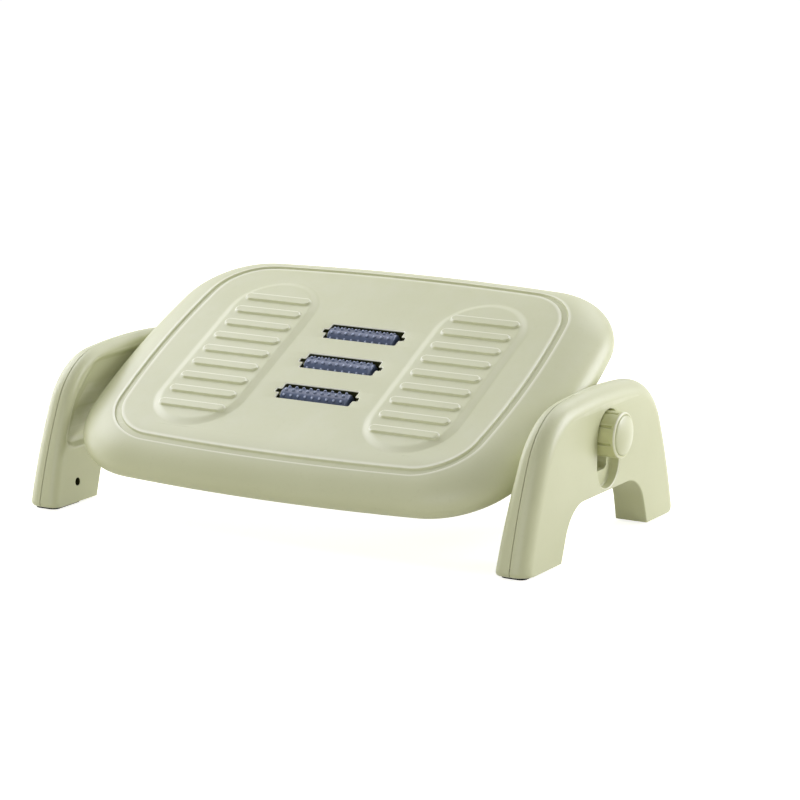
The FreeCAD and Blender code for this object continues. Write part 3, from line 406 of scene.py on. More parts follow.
window = {
    "centreX": 1.7, "pitch": 45.1, "halfLength": 36.9, "halfDepth": 10.45, "corner": 1.4, "innerCorner": 1.3,
    "notchLength": 4.6, "notchHalf": 2.6, "notchCorner": 0.8, "notchFloor": 4.5,
    "edge": 1.0, "edgeHighlight": 0.8, "wellCorner": 1.2, "wellRoom": 0.05, "wellDepth": 20.0, "rollerDrop": 8.0,
    "boxEndRoom": 5.7, "boxSideRoom": 3.2, "boxDepth": 22.2, "boxEdge": 0.8,
}
windowRows = {"near": -1, "middle": 0, "far": 1}


def windowMiddle(row):
    return [window["centreX"], tread["centreY"] + row * window["pitch"]]


def windowLoop(row, grow):
    # plan of a roller window: a long slot with a short notch at the middle of each end
    length = window["halfLength"] + grow
    depth = window["halfDepth"] + grow
    reach = length + window["notchLength"]
    notch = window["notchHalf"] + grow
    nearHalf = [(length, -depth), (length, -notch), (reach, -notch)]
    right = nearHalf + [(x, -y) for x, y in reversed(nearHalf)]
    left = [(-x, y) for x, y in reversed(right)]
    outer = window["corner"] + grow
    inner = window["innerCorner"] - grow
    tip = window["notchCorner"] + grow
    return roundedLoop(right + left, [outer, inner, tip, tip, inner, outer] * 2, 5, 3) + windowMiddle(row)


def wellLoop(row, length, depth, height):
    # a roller well's outline, from its half length and half depth, at a height under the top plane
    points = roundedLoop(boxCorners(length, depth), [window["wellCorner"]] * 4, 5, 6)
    return level(points + windowMiddle(row), height)


def addPlateRibs(maker, place):
    # stiffening ribs: long closed bars that sink a little into the underside and end in the crown
    low = -plate["wall"] - plate["ribDepth"]
    half, soft = plate["ribHalf"], plate["ribRounding"]
    foot = half - plate["ribDraft"]
    runs = [(step * plate["ribPitch"], True) for step in (-3, -2, -1, 1, 2, 3)]
    for step in (-2.5, -1.5, -0.5, 0.5, 1.5, 2.5):
        runs.append((tread["centreY"] + step * window["pitch"], False))
    for offset, lengthways in runs:
        reach = plate["halfDepth"] if lengthways else plate["halfWidth"]
        places = np.linspace(-reach, reach, plate["ribStations"])
        offsets = np.full(len(places), offset)
        fall = crownFall(offsets, places) if lengthways else crownFall(places, offsets)
        heights = plate["ribSink"] - plate["wall"] - fall
        keep = heights > low + 2 * soft
        rings = []
        for run, high in zip(places[keep], heights[keep]):
            shift = np.array([half, -half, -foot, soft - foot, foot - soft, foot])
            height = [high, high, low + soft, low, low, low + soft]
            along = np.full(len(shift), run)
            if lengthways:
                rings.append(place(np.column_stack([offset - shift, along, height])))
            else:
                rings.append(place(np.column_stack([along, offset + shift, height])))
        maker.bridgeAll(rings)
        maker.face(rings[0])
        maker.face(rings[-1][::-1])


ear = {
    "innerX": 216.0, "outerX": 223.0, "bossX": 226.2, "radius": 19.0, "bossRadius": 17.0, "halfSpan": 31.0,
    "shoulderZ": 14.1, "topZ": 29.5, "topSlope": 0.72, "bevel": 0.7,
    "neckHalf": 4.05, "neckCorner": 0.4, "neckEnd": 220.05, "bore": 4.05, "boreSteps": 32, "bossSteps": 72,
}


def earLoop(inset, x):
    # side view of an ear: a disc round the pivot that widens into the plate's side
    span, radius = ear["halfSpan"] - inset, ear["radius"] - inset
    high = ear["topZ"] + ear["topSlope"] * (ear["outerX"] - x)
    turns = np.radians(np.arange(0, -181, -7.5))
    arc = [(radius * math.cos(turn), radius * math.sin(turn)) for turn in turns]
    ends = [(span, high), (span, ear["shoulderZ"])]
    return onSide(ends + arc + [(-y, z) for y, z in reversed(ends)], x)


def addEar(maker, direction):
    def lay(points):
        ring = maker.loop(np.array(points) * [direction, 1, 1])
        return ring if direction > 0 else ring[::-1]

    def fromOutside(point):
        return point[1] * direction, point[2]

    bevel = ear["bevel"]
    square = roundedLoop(boxCorners(ear["neckHalf"], ear["neckHalf"]), [ear["neckCorner"]] * 4, 4, 2)
    circle = circleLoop((0, 0), ear["bore"], ear["boreSteps"])
    disc = circleLoop((0, 0), ear["bossRadius"], ear["bossSteps"])
    bevelled = circleLoop((0, 0), ear["bossRadius"] - bevel, ear["bossSteps"])
    rings = [
        lay(earLoop(bevel, ear["innerX"])), lay(earLoop(0, ear["innerX"] + bevel)),
        lay(earLoop(0, ear["outerX"] - bevel)), lay(earLoop(bevel, ear["outerX"])),
    ]
    neck = lay(onSide(square, ear["innerX"]))
    neckEnd = lay(onSide(square, ear["neckEnd"]))
    bore = lay(onSide(circle, ear["neckEnd"]))
    boreEnd = lay(onSide(circle, ear["bossX"]))
    root = lay(onSide(disc, ear["outerX"]))
    boss = lay(onSide(disc, ear["bossX"] - bevel))
    face = lay(onSide(bevelled, ear["bossX"]))
    maker.bridgeAll(rings)
    maker.fill(rings[-1], [root], fromOutside)
    maker.bridgeAll([face, boss, root])
    maker.fill(face, [boreEnd], fromOutside)
    maker.bridge(boreEnd, bore)
    maker.fill(neckEnd, [bore], fromOutside, flip=True)
    maker.bridge(neckEnd, neck)
    maker.fill(rings[0], [neck], fromOutside, flip=True)


def addPlateTop(maker, place):
    # rings over the rounded edge and the border groove, to the flat inside them
    rounding = quarterTurn(plate["roundStep"], plate["roundTo"])
    rings = [(level(insetLoop(plate["crownRun"] * inset), -plate["crownDrop"] * rise), 0.0)
             for inset, rise in rounding]

    def addRing(sizes, depth=0.0, highlight=0.0):
        points = plateLoop(*sizes)
        rings.append((np.column_stack([points, -crownFall(*points.T) - depth]), highlight))

    lastInset = plate["crownRun"] * rounding[-1][0]
    start = np.array([lastInset, lastInset, plate["corner"] - lastInset])
    middle, final = np.array(plate["groove"]), np.array(plate["inside"])
    inward = np.array([1.0, 1.0, -1.0])
    half, floor = plate["grooveHalf"], plate["grooveFloor"]
    reach = half + plate["grooveEdge"]
    outer, inner = middle - inward * reach, middle + inward * reach
    fine, wide = plate["grooveFine"], plate["grooveWide"]
    for ring in range(1, plate["topRings"]):
        addRing(start + (outer - start) * (ring / plate["topRings"]))
    for shift in spread((-reach, -floor, fine), (-floor, floor, wide), (floor, reach, fine)):
        depth = plate["grooveDepth"] * (1 - smoothStep(floor, half, abs(shift)))
        # the groove's rounded upper edges carry a painted highlight
        highlight = plate["grooveHighlight"] * smoothStep(half - 0.5, half - 0.1, abs(shift))
        addRing(middle + inward * shift, depth, highlight)
    for ring in range(1, plate["insideRings"] + 1):
        addRing(inner + (final - inner) * (ring / plate["insideRings"]))
    loops = [place(points, highlight) for points, highlight in rings]
    maker.bridgeAll(loops)
    return loops[0], loops[-1]


def addFootPads(maker, place):
    # the two raised foot pads, each on its own grid; gives their outlines
    outlines = []
    gridX, gridY = treadGrid()
    # painted highlight on the pads' slopes and ribs, point by point
    height, highlight = treadHeight(gridX, gridY), treadHighlight(gridX, gridY)
    for direction in sides.values():
        middle = [direction * tread["centreX"] + tread["shiftX"], tread["centreY"], 0]
        rows = []
        for x, y, z, shine in zip(gridX, gridY, height, highlight):
            rows.append(place(np.column_stack([x, y, z]) + middle, shine))
        for low, high in zip(rows, rows[1:]):
            for index in range(len(low) - 1):
                maker.face((low[index], low[index + 1], high[index + 1], high[index]))
        rightEdge = [row[-1] for row in rows[1:-1]]
        leftEdge = [row[0] for row in rows[-2:0:-1]]
        outlines.append(rows[0] + rightEdge + rows[-1][::-1] + leftEdge)
    return outlines


def addWindows(maker, place):
    # the roller windows, with rounded edges under a painted highlight, notch ledges in the darker shaded copy
    # of the plastic and deep wells lined in painted shade; gives their outlines
    outlines = []
    for row in windowRows.values():
        rings = []
        for inset, rise in quarterTurn(22.5):
            points = level(windowLoop(row, window["edge"] * rise), -window["edge"] * inset)
            # the rounded window edge carries a painted highlight
            rings.append(place(points, edgeHighlight(window["edgeHighlight"], inset)))
        outlines.append(rings[0])
        maker.bridgeAll(rings[::-1])
        # the notch walls, well walls and well floor take the near-black lining: painted shade
        maker.mark = 1
        ledge = place(level(windowLoop(row, 0), -window["notchFloor"]))
        maker.bridge(ledge, rings[-1])
        length, depth = window["halfLength"] - window["wellRoom"], window["halfDepth"] - window["wellRoom"]
        mouth = place(wellLoop(row, length, depth, -window["notchFloor"]))
        # the notch ledge takes the darker copy of the sage plastic: painted shade
        maker.mark = 2
        maker.fill(ledge, [mouth], planView)
        maker.mark = 1
        floor = place(wellLoop(row, length, depth, -window["wellDepth"]))
        maker.bridge(floor, mouth)
        maker.fill(floor, [], planView)
        maker.mark = 0
    return outlines


def addTray(maker, place, rim):
    # side band, turned-in lip, the inside of the tray and closed boxes under the windows
    bottom = -plate["crownDrop"] - plate["bandHeight"]
    ledge = bottom + plate["lipThickness"]
    profile = [(0.0, -plate["crownDrop"] - 0.01)]
    profile += [(plate["lipRounding"] * inset, bottom + plate["lipRounding"] * rise)
                for inset, rise in quarterTurn(11.25)]
    lip, edge = plate["lipWidth"], plate["lipEdge"]
    profile += [(lip - edge, bottom), (lip, bottom + edge), (lip, ledge), (plate["wall"], ledge)]
    profile += [(plate["wall"] + plate["crownRun"] * inset, -plate["wall"] - plate["crownDrop"] * rise)
                for inset, rise in quarterTurn(9)]
    loops = [rim] + [place(level(insetLoop(inset), depth)) for inset, depth in profile]
    maker.bridgeAll(loops)
    outlines = []
    length = window["halfLength"] + window["boxEndRoom"]
    depth = window["halfDepth"] + window["boxSideRoom"]
    low, edge = -window["boxDepth"], window["boxEdge"]
    for row in windowRows.values():
        walls = []
        for inset, height in ((0, -plate["wall"]), (0, low + edge), (0.25, low + 0.25), (edge, low)):
            walls.append(place(wellLoop(row, length - inset, depth - inset, height)))
        outlines.append(walls[0])
        maker.bridgeAll(walls)
        maker.fill(walls[-1], [], planView, flip=True)
    maker.fill(loops[-1], outlines, planView, flip=True)


def makePlate(materials):
    maker = Maker()

    def place(points, highlight=0.0):
        return maker.loop(points + np.array([0, -plate["setback"], plate["topRise"]]), highlight)

    rim, inside = addPlateTop(maker, place)
    outlines = addFootPads(maker, place) + addWindows(maker, place)
    maker.fill(inside, outlines, planView)
    addTray(maker, place, rim)
    addPlateRibs(maker, place)
    for direction in sides.values():
        addEar(maker, direction)
    thing = maker.piece("pedal_plate_skin", "pedal", materials, plateMatrix, closed=True)
    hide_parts("pedal_plate")
    smoothByAngle(thing, plate["smooth"])


# Legs: side-view outlines are (y, z) points in the leg's own middle plane

leg = {
    "faceX": 250.0, "seamX": 235.0, "footX": 219.2, "topX": 226.5, "halfLength": 150.0, "height": 137.0,
    "lean": 13.1, "edgeRadius": 485.0, "shoulder": 70.0, "crestRadius": 615.0, "toeRadius": 4.0,
    "archY": 3.0, "archHalf": 84.5, "archHeight": 47.0, "archLean": 20.0, "archRadius": 36.0,
    "footGap": 2.0, "crownSteps": (8, 30, 22, 16), "archSteps": (6, 16, 6), "soleSteps": 8, "smooth": 35,
    "outerRounding": 13.0, "innerRounding": 8.0, "archRounding": 1.6, "seamGap": 0.3, "seamBevel": 0.4,
    "pivotY": 5.2, "pivotZ": 97.2, "travel": 26.0,
    "wellRadius": 21.8, "wellDepth": 8.0, "wellEdge": 1.0, "wellHighlight": 0.9, "wellCorner": 0.8, "wall": 2.5,
    "slotHalf": 12.6, "slotReach": 7.15, "slotCorner": 5.6,
    "screwY": 110.0, "screwZ": 20.0, "upperY": 32.0, "upperZ": 82.0,
    "sinkRadius": 3.6, "sinkBevel": 0.4, "sinkX": 229.0, "sinkSteps": 28,
}
scoop = {
    "corners": [(72, 127), (109, 95.5), (127, 58), (113, 50.4)], "rounding": [22, 60, 9, 8],
    "slope": 5.8, "steps": 10, "inner": [8.0, 9.5, 11.0], "floorX": 227.6, "highlight": 0.3,
    "arcSteps": 8, "lineSteps": 14, "highlightFade": (0.6, 1.8),
    # y, and the heights between which the hollow fades there
    "fadeNear": (45.0, 40.0, 50.0), "fadeFar": (85.0, 45.0, 61.5),
}


def mirrored(half):
    # a half outline that ends on the middle line, carried on to the other side
    return np.concatenate([half[:-1], (half * [-1, 1])[::-1]])


def legCrown(inset):
    # toe, leaning edge, shoulder and crest
    lean = math.radians(leg["lean"])
    low = leg["footGap"]
    edgeRadius = leg["edgeRadius"] - inset
    edgeCentre = np.array([
        -leg["halfLength"] + leg["edgeRadius"] * math.cos(lean), -leg["edgeRadius"] * math.sin(lean)
    ])
    crestCentre = np.array([0.0, leg["height"] - leg["crestRadius"]])
    shoulder, edgeEnd, crestEnd = touchingCorner(
        edgeCentre, edgeRadius, crestCentre, leg["crestRadius"] - inset,
        leg["shoulder"] - inset, np.array([-1.0, 1.0]),
    )
    toeRadius = leg["toeRadius"]
    toeHeight = low + toeRadius
    toeReach = math.sqrt((edgeRadius - toeRadius) ** 2 - (toeHeight - edgeCentre[1]) ** 2)
    toeCentre = np.array([edgeCentre[0] - toeReach, toeHeight])
    toe = edgeCentre + unit(toeCentre - edgeCentre) * edgeRadius
    top = np.array([0.0, leg["height"] - inset])
    toeSteps, edgeSteps, shoulderSteps, crestSteps = leg["crownSteps"]
    return mirrored(np.concatenate([
        arcPoints(toeCentre, toeCentre - [0, toeRadius], toe, toeSteps),
        arcPoints(edgeCentre, toe, edgeEnd, edgeSteps),
        arcPoints(shoulder, edgeEnd, crestEnd, shoulderSteps),
        arcPoints(crestCentre, crestEnd, top, crestSteps),
        [top],
    ]))


def legArch(inset):
    lean = math.radians(leg["archLean"])
    low = leg["footGap"]
    radius = leg["archRadius"] + inset
    ceiling = leg["archHeight"] + inset
    side = leg["archHalf"] + inset / math.cos(lean)
    cornerZ = ceiling - radius
    cornerY = side - cornerZ * math.tan(lean) - radius / math.cos(lean)
    foot = np.array([side - low * math.tan(lean), low])
    wallEnd = np.array([cornerY + radius * math.cos(lean), cornerZ + radius * math.sin(lean)])
    topEnd = np.array([cornerY, ceiling])
    top = np.array([0.0, ceiling])
    wallSteps, cornerSteps, topSteps = leg["archSteps"]
    return mirrored(np.concatenate([
        linePoints(foot, wallEnd, wallSteps),
        arcPoints(np.array([cornerY, cornerZ]), wallEnd, topEnd, cornerSteps),
        linePoints(topEnd, top, topSteps),
        [top],
    ])) + [leg["archY"], 0]


def legLoop(edgeInset, archInset):
    # the outline, and how far each point belongs to the crown: 0 on the arch, even steps along the soles
    crown, arch = legCrown(edgeInset), legArch(archInset)
    steps = leg["soleSteps"]
    soleRear = linePoints(crown[-1], arch[0], steps)[1:]
    soleFront = linePoints(arch[-1], crown[0], steps)[1:]
    loop = np.concatenate([crown, soleRear, arch, soleFront])
    along = np.arange(1, steps) / steps
    share = np.concatenate([np.ones(len(crown)), 1 - along, np.zeros(len(arch)), along])
    return loop[::-1], share[::-1]


def insetRounded(corners, radii, inset, arcSteps, lineSteps):
    # moves every side of a polygon inwards, joins them again and rounds the corners
    corners = [np.array(corner, float) for corner in corners]
    moved, changed = [], []
    for index, corner in enumerate(corners):
        back = unit(corner - corners[index - 1])
        ahead = unit(corners[(index + 1) % len(corners)] - corner)
        normals = np.array([-back[1], back[0]]), np.array([-ahead[1], ahead[0]])
        moved.append(corner + (normals[0] + normals[1]) * inset / (1 + float(normals[0] @ normals[1])))
        convex = back[0] * ahead[1] > back[1] * ahead[0]
        changed.append(max(0.4, radii[index] - inset) if convex else radii[index] + inset)
    return roundedLoop(moved, changed, arcSteps, lineSteps)


def wellOutline(radius, steps=20):
    # an upright slot with round ends about the knob's travel
    centre, high = leg["pivotY"], leg["pivotZ"]
    low = high - leg["travel"]
    upper = circleLoop((centre, high), radius, steps * 2)[:steps + 1]
    lower = circleLoop((centre, low), radius, steps * 2)[steps:]
    return np.concatenate([upper, lower, [[centre + radius, low]]])


def slotLoop():
    low = leg["pivotZ"] - leg["travel"] - leg["slotReach"]
    high = leg["pivotZ"] + leg["slotReach"]
    left, right = leg["pivotY"] - leg["slotHalf"], leg["pivotY"] + leg["slotHalf"]
    corners = [(left, low), (right, low), (right, high), (left, high)]
    return roundedLoop(corners, [leg["slotCorner"]] * 4, 8, 3)


def outerFaceX(z):
    return np.full(len(z), leg["faceX"])


def innerFaceX(z):
    return leg["footX"] + (leg["topX"] - leg["footX"]) * z / leg["height"]


def shellRings(maker, direction, rounding, faceX):
    # from the seam over the rounding to the face; direction is 1 outwards and -1 inwards
    small = leg["archRounding"]
    rings = []
    for inset, bevel in ((leg["seamBevel"], 0.0), (0.0, leg["seamBevel"])):
        loop, share = legLoop(inset, 0)
        x = leg["seamX"] + direction * (leg["seamGap"] / 2 * share + bevel)
        rings.append(maker.loop(onSide(loop, x)))
    for inset, rise in quarterTurn(7.5):
        loop, share = legLoop(rounding * inset, small * inset)
        x = faceX(loop[:, 1]) - direction * rise * (small + (rounding - small) * share)
        rings.append(maker.loop(onSide(loop, x)))
    return rings


def makeOuterShell(side, materials):
    maker = Maker()
    rings = shellRings(maker, 1, leg["outerRounding"], outerFaceX)
    maker.bridgeAll(rings)

    walls = []
    for inset, rise in quarterTurn(15):
        points = wellOutline(leg["wellRadius"] + leg["wellEdge"] * rise)
        x = leg["faceX"] - leg["wellEdge"] * inset
        # the rounded mouth of the knob's well carries a painted highlight
        walls.append(maker.loop(onSide(points, x), edgeHighlight(leg["wellHighlight"], inset)))
    floorX, corner = leg["faceX"] - leg["wellDepth"], leg["wellCorner"]
    for inset, rise in ((0, corner), (corner, 0)):
        walls.append(maker.loop(onSide(wellOutline(leg["wellRadius"] - inset), floorX + rise)))
    maker.fill(rings[-1], [walls[0]], sideView)
    maker.bridgeAll(walls[::-1])
    mouth = maker.loop(onSide(slotLoop(), floorX))
    maker.fill(walls[-1], [mouth], sideView)
    maker.bridge(maker.loop(onSide(slotLoop(), floorX - leg["wall"])), mouth)

    thing = maker.piece(side + "_leg_outer_skin", "stand", materials, sidePlace(side))
    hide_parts(side + "_leg_outer_shell")
    smoothByAngle(thing, leg["smooth"])


def sinkScrew(maker, mouth, outline):
    # the deep hole of a screw behind its mouth, lined in painted shade
    deep = maker.loop(onSide(outline, leg["sinkX"]))
    maker.mark = 1
    maker.bridge(mouth, deep)
    maker.fill(deep, [], sideView, flip=True)
    maker.mark = 0


def scoopRings(maker):
    # the hollow that the pedal swings in: a soft step inside the face that fades at its lower ends
    half = scoop["corners"]
    corners = [(-y, z) for y, z in half] + half[::-1]
    radii = scoop["rounding"] + scoop["rounding"][::-1]
    nearY, nearLow, nearHigh = scoop["fadeNear"]
    farY, farLow, farHigh = scoop["fadeFar"]
    insets = [scoop["slope"] * step / scoop["steps"] for step in range(scoop["steps"] + 1)]
    rings = []
    for inset in insets + scoop["inner"]:
        points = insetRounded(corners, radii, inset, scoop["arcSteps"], scoop["lineSteps"])
        outward = smoothStep(nearY, farY, np.abs(points[:, 0]))
        low = nearLow + (farLow - nearLow) * outward
        high = nearHigh + (farHigh - nearHigh) * outward
        fade = smoothStep(low, high, points[:, 1])
        face = innerFaceX(points[:, 1])
        x = face + (scoop["floorX"] - face) * smoothStep(0, scoop["slope"], inset) * fade
        # a painted highlight along the hollow's rim, fading where the hollow fades
        highlight = scoop["highlight"] * (1 - smoothStep(*scoop["highlightFade"], inset)) * fade * outward
        rings.append(maker.loop(onSide(points, x), highlight))
    return rings


def makeInnerShell(side, materials):
    maker = Maker()
    rings = shellRings(maker, -1, leg["innerRounding"], innerFaceX)
    maker.bridgeAll([ring[::-1] for ring in rings])

    mouths = []
    for y in (-leg["screwY"], leg["screwY"]):
        rim = circleLoop((y, leg["screwZ"]), leg["sinkRadius"] + leg["sinkBevel"], leg["sinkSteps"])
        wall = circleLoop((y, leg["screwZ"]), leg["sinkRadius"], leg["sinkSteps"])
        mouths.append(maker.loop(onSide(rim, innerFaceX(rim[:, 1]))))
        inner = maker.loop(onSide(wall, innerFaceX(wall[:, 1]) + leg["sinkBevel"]))
        maker.bridge(mouths[-1], inner)
        sinkScrew(maker, inner, wall)
    hollow = scoopRings(maker)
    maker.fill(rings[-1], [hollow[0]] + mouths, sideView, flip=True)
    maker.bridgeAll(hollow)
    mouths = []
    for y in (leg["pivotY"] - leg["upperY"], leg["pivotY"] + leg["upperY"]):
        wall = circleLoop((y, leg["upperZ"]), leg["sinkRadius"], leg["sinkSteps"])
        mouths.append(maker.loop(onSide(wall, scoop["floorX"])))
        sinkScrew(maker, mouths[-1], wall)
    mouths.append(maker.loop(onSide(slotLoop(), scoop["floorX"])))
    slotEnd = leg["faceX"] - leg["wellDepth"] - leg["wall"]
    maker.bridge(mouths[-1], maker.loop(onSide(slotLoop(), slotEnd)))
    maker.fill(hollow[-1], mouths, sideView, flip=True)

    thing = maker.piece(side + "_leg_inner_skin", "stand", materials, sidePlace(side))
    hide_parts(side + "_leg_inner_shell")
    smoothByAngle(thing, leg["smooth"])


# Knobs: (distance along the bolt, radius) profiles turned about the bolt

knob = {
    "innerX": 243.8, "rimX": 264.0, "radius": 20.0, "rounding": 1.7, "rimHighlight": 0.7, "boreRadius": 10.0,
    "grooves": 8, "phase": 15.0, "grooveHalf": 1.3, "grooveDepth": 2.2, "grooveStart": 1.5, "grooveEnd": 3.4,
    "startSteps": (-0.3, -0.1, 0.1, 0.3), "endSteps": (-0.8, -0.6, -0.4, -0.2, 0.0, 0.2), "gripSteps": 7,
    "fineAngles": 13, "wideAngles": 12, "gripSmooth": 40,
    "capRadius": 17.4, "capEdge": 1.1, "dome": 3.6, "capSteps": 96, "capRings": 22, "capSmooth": 30,
    # (x, radius) steps from the inner rim to the grip, and from the outer rim into the seat of the cap
    "heel": ((0.0, -1.0), (0.3, -0.3), (1.0, 0.0)),
    "seat": ((0.0, 0.45), (-0.3, 0.1), (-1.6, 0.1), (-2.4, -2.0)),
}


def turned(maker, profile, angles, shape=None, highlights=None):
    # (x, radius) pairs turned about the X axis; shape may change the radii round a ring, and highlights set a
    # painted highlight on some rings
    rings = []
    for number, (x, radius) in enumerate(profile):
        radii = np.full(len(angles), radius) if shape is None else shape(x, radius, angles)
        points = onSide(np.column_stack([radii * np.cos(angles), radii * np.sin(angles)]), x)
        rings.append(maker.loop(points, (highlights or {}).get(number, 0.0)))
    maker.bridgeAll([ring[::-1] for ring in rings])
    return rings


def knobAngles():
    turn = 2 * math.pi / knob["grooves"]
    near = knob["grooveHalf"] / knob["radius"] * 1.5
    fine = np.linspace(-near, near, knob["fineAngles"])[:-1]
    wide = np.linspace(near, turn - near, knob["wideAngles"])[:-1]
    angles = []
    for number in range(knob["grooves"]):
        start = math.radians(knob["phase"]) + number * turn
        angles.extend(start + fine)
        angles.extend(start + wide)
    return np.array(angles)


def knobGrip(x, radius, angles):
    turn = 2 * math.pi / knob["grooves"]
    offset = (angles - math.radians(knob["phase"]) + turn / 2) % turn - turn / 2
    across = np.abs(offset) * knob["radius"]
    width = 1 - smoothStep(knob["grooveHalf"] * 0.5, knob["grooveHalf"] * 1.25, across)
    start, end = knob["innerX"] + knob["grooveStart"], knob["rimX"] - knob["grooveEnd"]
    opening = smoothStep(start + knob["startSteps"][0], start + knob["startSteps"][-1], x)
    closing = smoothStep(end + knob["endSteps"][0], end + knob["endSteps"][-1], x)
    along = opening * (1 - closing)
    depth = knob["grooveDepth"] * width * along
    return np.minimum(radius, knob["radius"] - depth)


def makeKnob(side, materials, capMaterials):
    maker = Maker()
    inner, rim, radius, rounding = knob["innerX"], knob["rimX"], knob["radius"], knob["rounding"]
    capRadius, dome, edge = knob["capRadius"], knob["dome"], knob["capEdge"]
    start, end = inner + knob["grooveStart"], rim - knob["grooveEnd"]
    profile = [(inner, knob["boreRadius"])]
    profile += [(inner + x, radius + out) for x, out in knob["heel"]]
    stations = np.concatenate([
        start + np.array(knob["startSteps"]),
        np.linspace(start + 2, end - 2, knob["gripSteps"]),
        end + np.array(knob["endSteps"]),
    ])
    profile += [(x, radius) for x in stations]
    highlights = {}
    for inset, rise in quarterTurn(11.25):
        # the rounded outer rim carries a painted highlight
        highlights[len(profile)] = knob["rimHighlight"] * 2 * (1 - inset) * (1 - rise)
        profile.append((rim - rounding * rise, radius - rounding * inset))
    profile += [(rim + x, capRadius + out) for x, out in knob["seat"]]
    turned(maker, profile, knobAngles(), knobGrip, highlights)
    place = sidePlace(side, pivot)
    # the grip takes the darker copy of the sage plastic: painted shade
    grip = maker.piece(side + "_knob_grip", side + "_knob", materials, place)
    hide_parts(side + "_knob_body")
    smoothByAngle(grip, knob["gripSmooth"])

    maker = Maker()
    flat = capRadius - edge
    ball = (flat**2 + (dome - edge) ** 2) / (2 * (dome - edge))
    profile = [(rim - 2.0, capRadius), (rim - 0.3, capRadius)]
    for angle in np.radians(np.arange(0, 76, 12.5)):
        profile.append((rim - 0.2 + edge * math.sin(angle), flat + edge * math.cos(angle)))
    for ring in np.linspace(flat - 0.2, 0.8, knob["capRings"]):
        profile.append((rim + dome - ball + math.sqrt(ball**2 - ring**2), ring))
    rings = turned(maker, profile, 2 * math.pi * np.arange(knob["capSteps"]) / knob["capSteps"])
    maker.fill(rings[-1], [], sideView)
    cap = maker.piece(side + "_knob_button", side + "_knob", capMaterials, place)
    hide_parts(side + "_knob_cap")
    smoothByAngle(cap, knob["capSmooth"])


# Rollers: sleeves with rows of small nubs, turning on steel axles

roller = {
    "halfLength": 33.6, "radius": 9.2, "boreRadius": 3.0, "bevel": 1.2, "step": 0.36,
    "rows": 10, "rowSteps": 18, "nubs": 9, "pitch": 7.2, "nubRadius": 1.6, "nubRise": 1.7, "nubHighlight": 0.9,
    "nubShape": (2.6, 0.8), "nubHighlightFrom": 0.55, "nubHighlightTo": 0.9, "smooth": 50,
    "phase": {"near": 0.5, "middle": 0.0, "far": 0.0},
}


def makeRoller(name, materials):
    maker = Maker()
    count = roller["rowSteps"] * roller["rows"]
    angles = 2 * math.pi * np.arange(count) / count
    turn = 2 * math.pi / roller["rows"]
    offset = ((angles - roller["phase"][name] * turn + turn / 2) % turn - turn / 2) * roller["radius"]

    def nubHeight(x):
        place = x / roller["pitch"] + (roller["nubs"] - 1) / 2
        nearest = min(max(round(place), 0), roller["nubs"] - 1)
        distance = np.hypot(offset, (place - nearest) * roller["pitch"]) / roller["nubRadius"]
        flat, steep = roller["nubShape"]
        return roller["nubRise"] * np.clip(1 - distance**flat, 0, 1) ** steep

    half, shoulder = roller["halfLength"], roller["radius"] - roller["bevel"]
    stations = spread((-half + roller["bevel"], half - roller["bevel"], roller["step"]))
    profile = [(-half, roller["boreRadius"], 0), (-half, shoulder, 0)]
    profile += [(x, roller["radius"], 1) for x in stations]
    profile += [(half, shoulder, 0), (half, roller["boreRadius"], 0)]
    rings = []
    for x, radius, bumpy in profile:
        height = nubHeight(x) * bumpy
        points = onSide(np.column_stack([np.cos(angles), np.sin(angles)]) * (radius + height)[:, None], x)
        # the tops of the nubs carry a painted highlight
        shine = smoothStep(roller["nubHighlightFrom"], roller["nubHighlightTo"], height / roller["nubRise"])
        rings.append(maker.loop(points, roller["nubHighlight"] * shine))
    maker.bridgeAll([ring[::-1] for ring in rings])
    y = tread["centreY"] + windowRows[name] * window["pitch"] - plate["setback"]
    place = plateMatrix @ Matrix.Translation(Vector((0, y, plate["topRise"] - window["rollerDrop"])) * mm)
    thing = maker.piece(name + "_roller_sleeve", name + "_roller", materials, place)
    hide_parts(name + "_roller")
    smoothByAngle(thing, roller["smooth"])


# Materials

def feed(tree, node, values):
    # a value is a number or colour for the input, or the output that is joined to it
    for label, value in values.items():
        if isinstance(value, bpy.types.NodeSocket):
            tree.links.new(value, node.inputs[label])
        else:
            node.inputs[label].default_value = value


def addNode(tree, kind, values=None, **settings):
    node = tree.nodes.new(kind)
    for label, value in settings.items():
        setattr(node, label, value)
    feed(tree, node, values or {})
    return node.outputs


def addNoise(tree, scale, detail=2.0, roughness=0.5):
    place = addNode(tree, "ShaderNodeTexCoord")["Object"]
    values = {"Vector": place, "Scale": scale, "Detail": detail, "Roughness": roughness}
    return addNode(tree, "ShaderNodeTexNoise", values)["Fac"]


def mapped(tree, value, fromMin, fromMax, toMin=0.0, toMax=1.0, interpolation="LINEAR"):
    values = {"Value": value, "From Min": fromMin, "From Max": fromMax, "To Min": toMin, "To Max": toMax}
    return addNode(tree, "ShaderNodeMapRange", values, interpolation_type=interpolation)["Result"]


def times(tree, first, second):
    return addNode(tree, "ShaderNodeMath", {0: first, 1: second}, operation="MULTIPLY")["Value"]


def newGroup(name, inputs, outputs):
    # a shader node group with plain number inputs and named outputs
    group = bpy.data.node_groups.new(name, "ShaderNodeTree")
    for label, value in inputs.items():
        socket = group.interface.new_socket(label, in_out="INPUT", socket_type="NodeSocketFloat")
        socket.default_value = value
    for label in outputs:
        group.interface.new_socket(label, in_out="OUTPUT", socket_type="NodeSocketFloat")
    return group, addNode(group, "NodeGroupInput"), group.nodes.new("NodeGroupOutput")


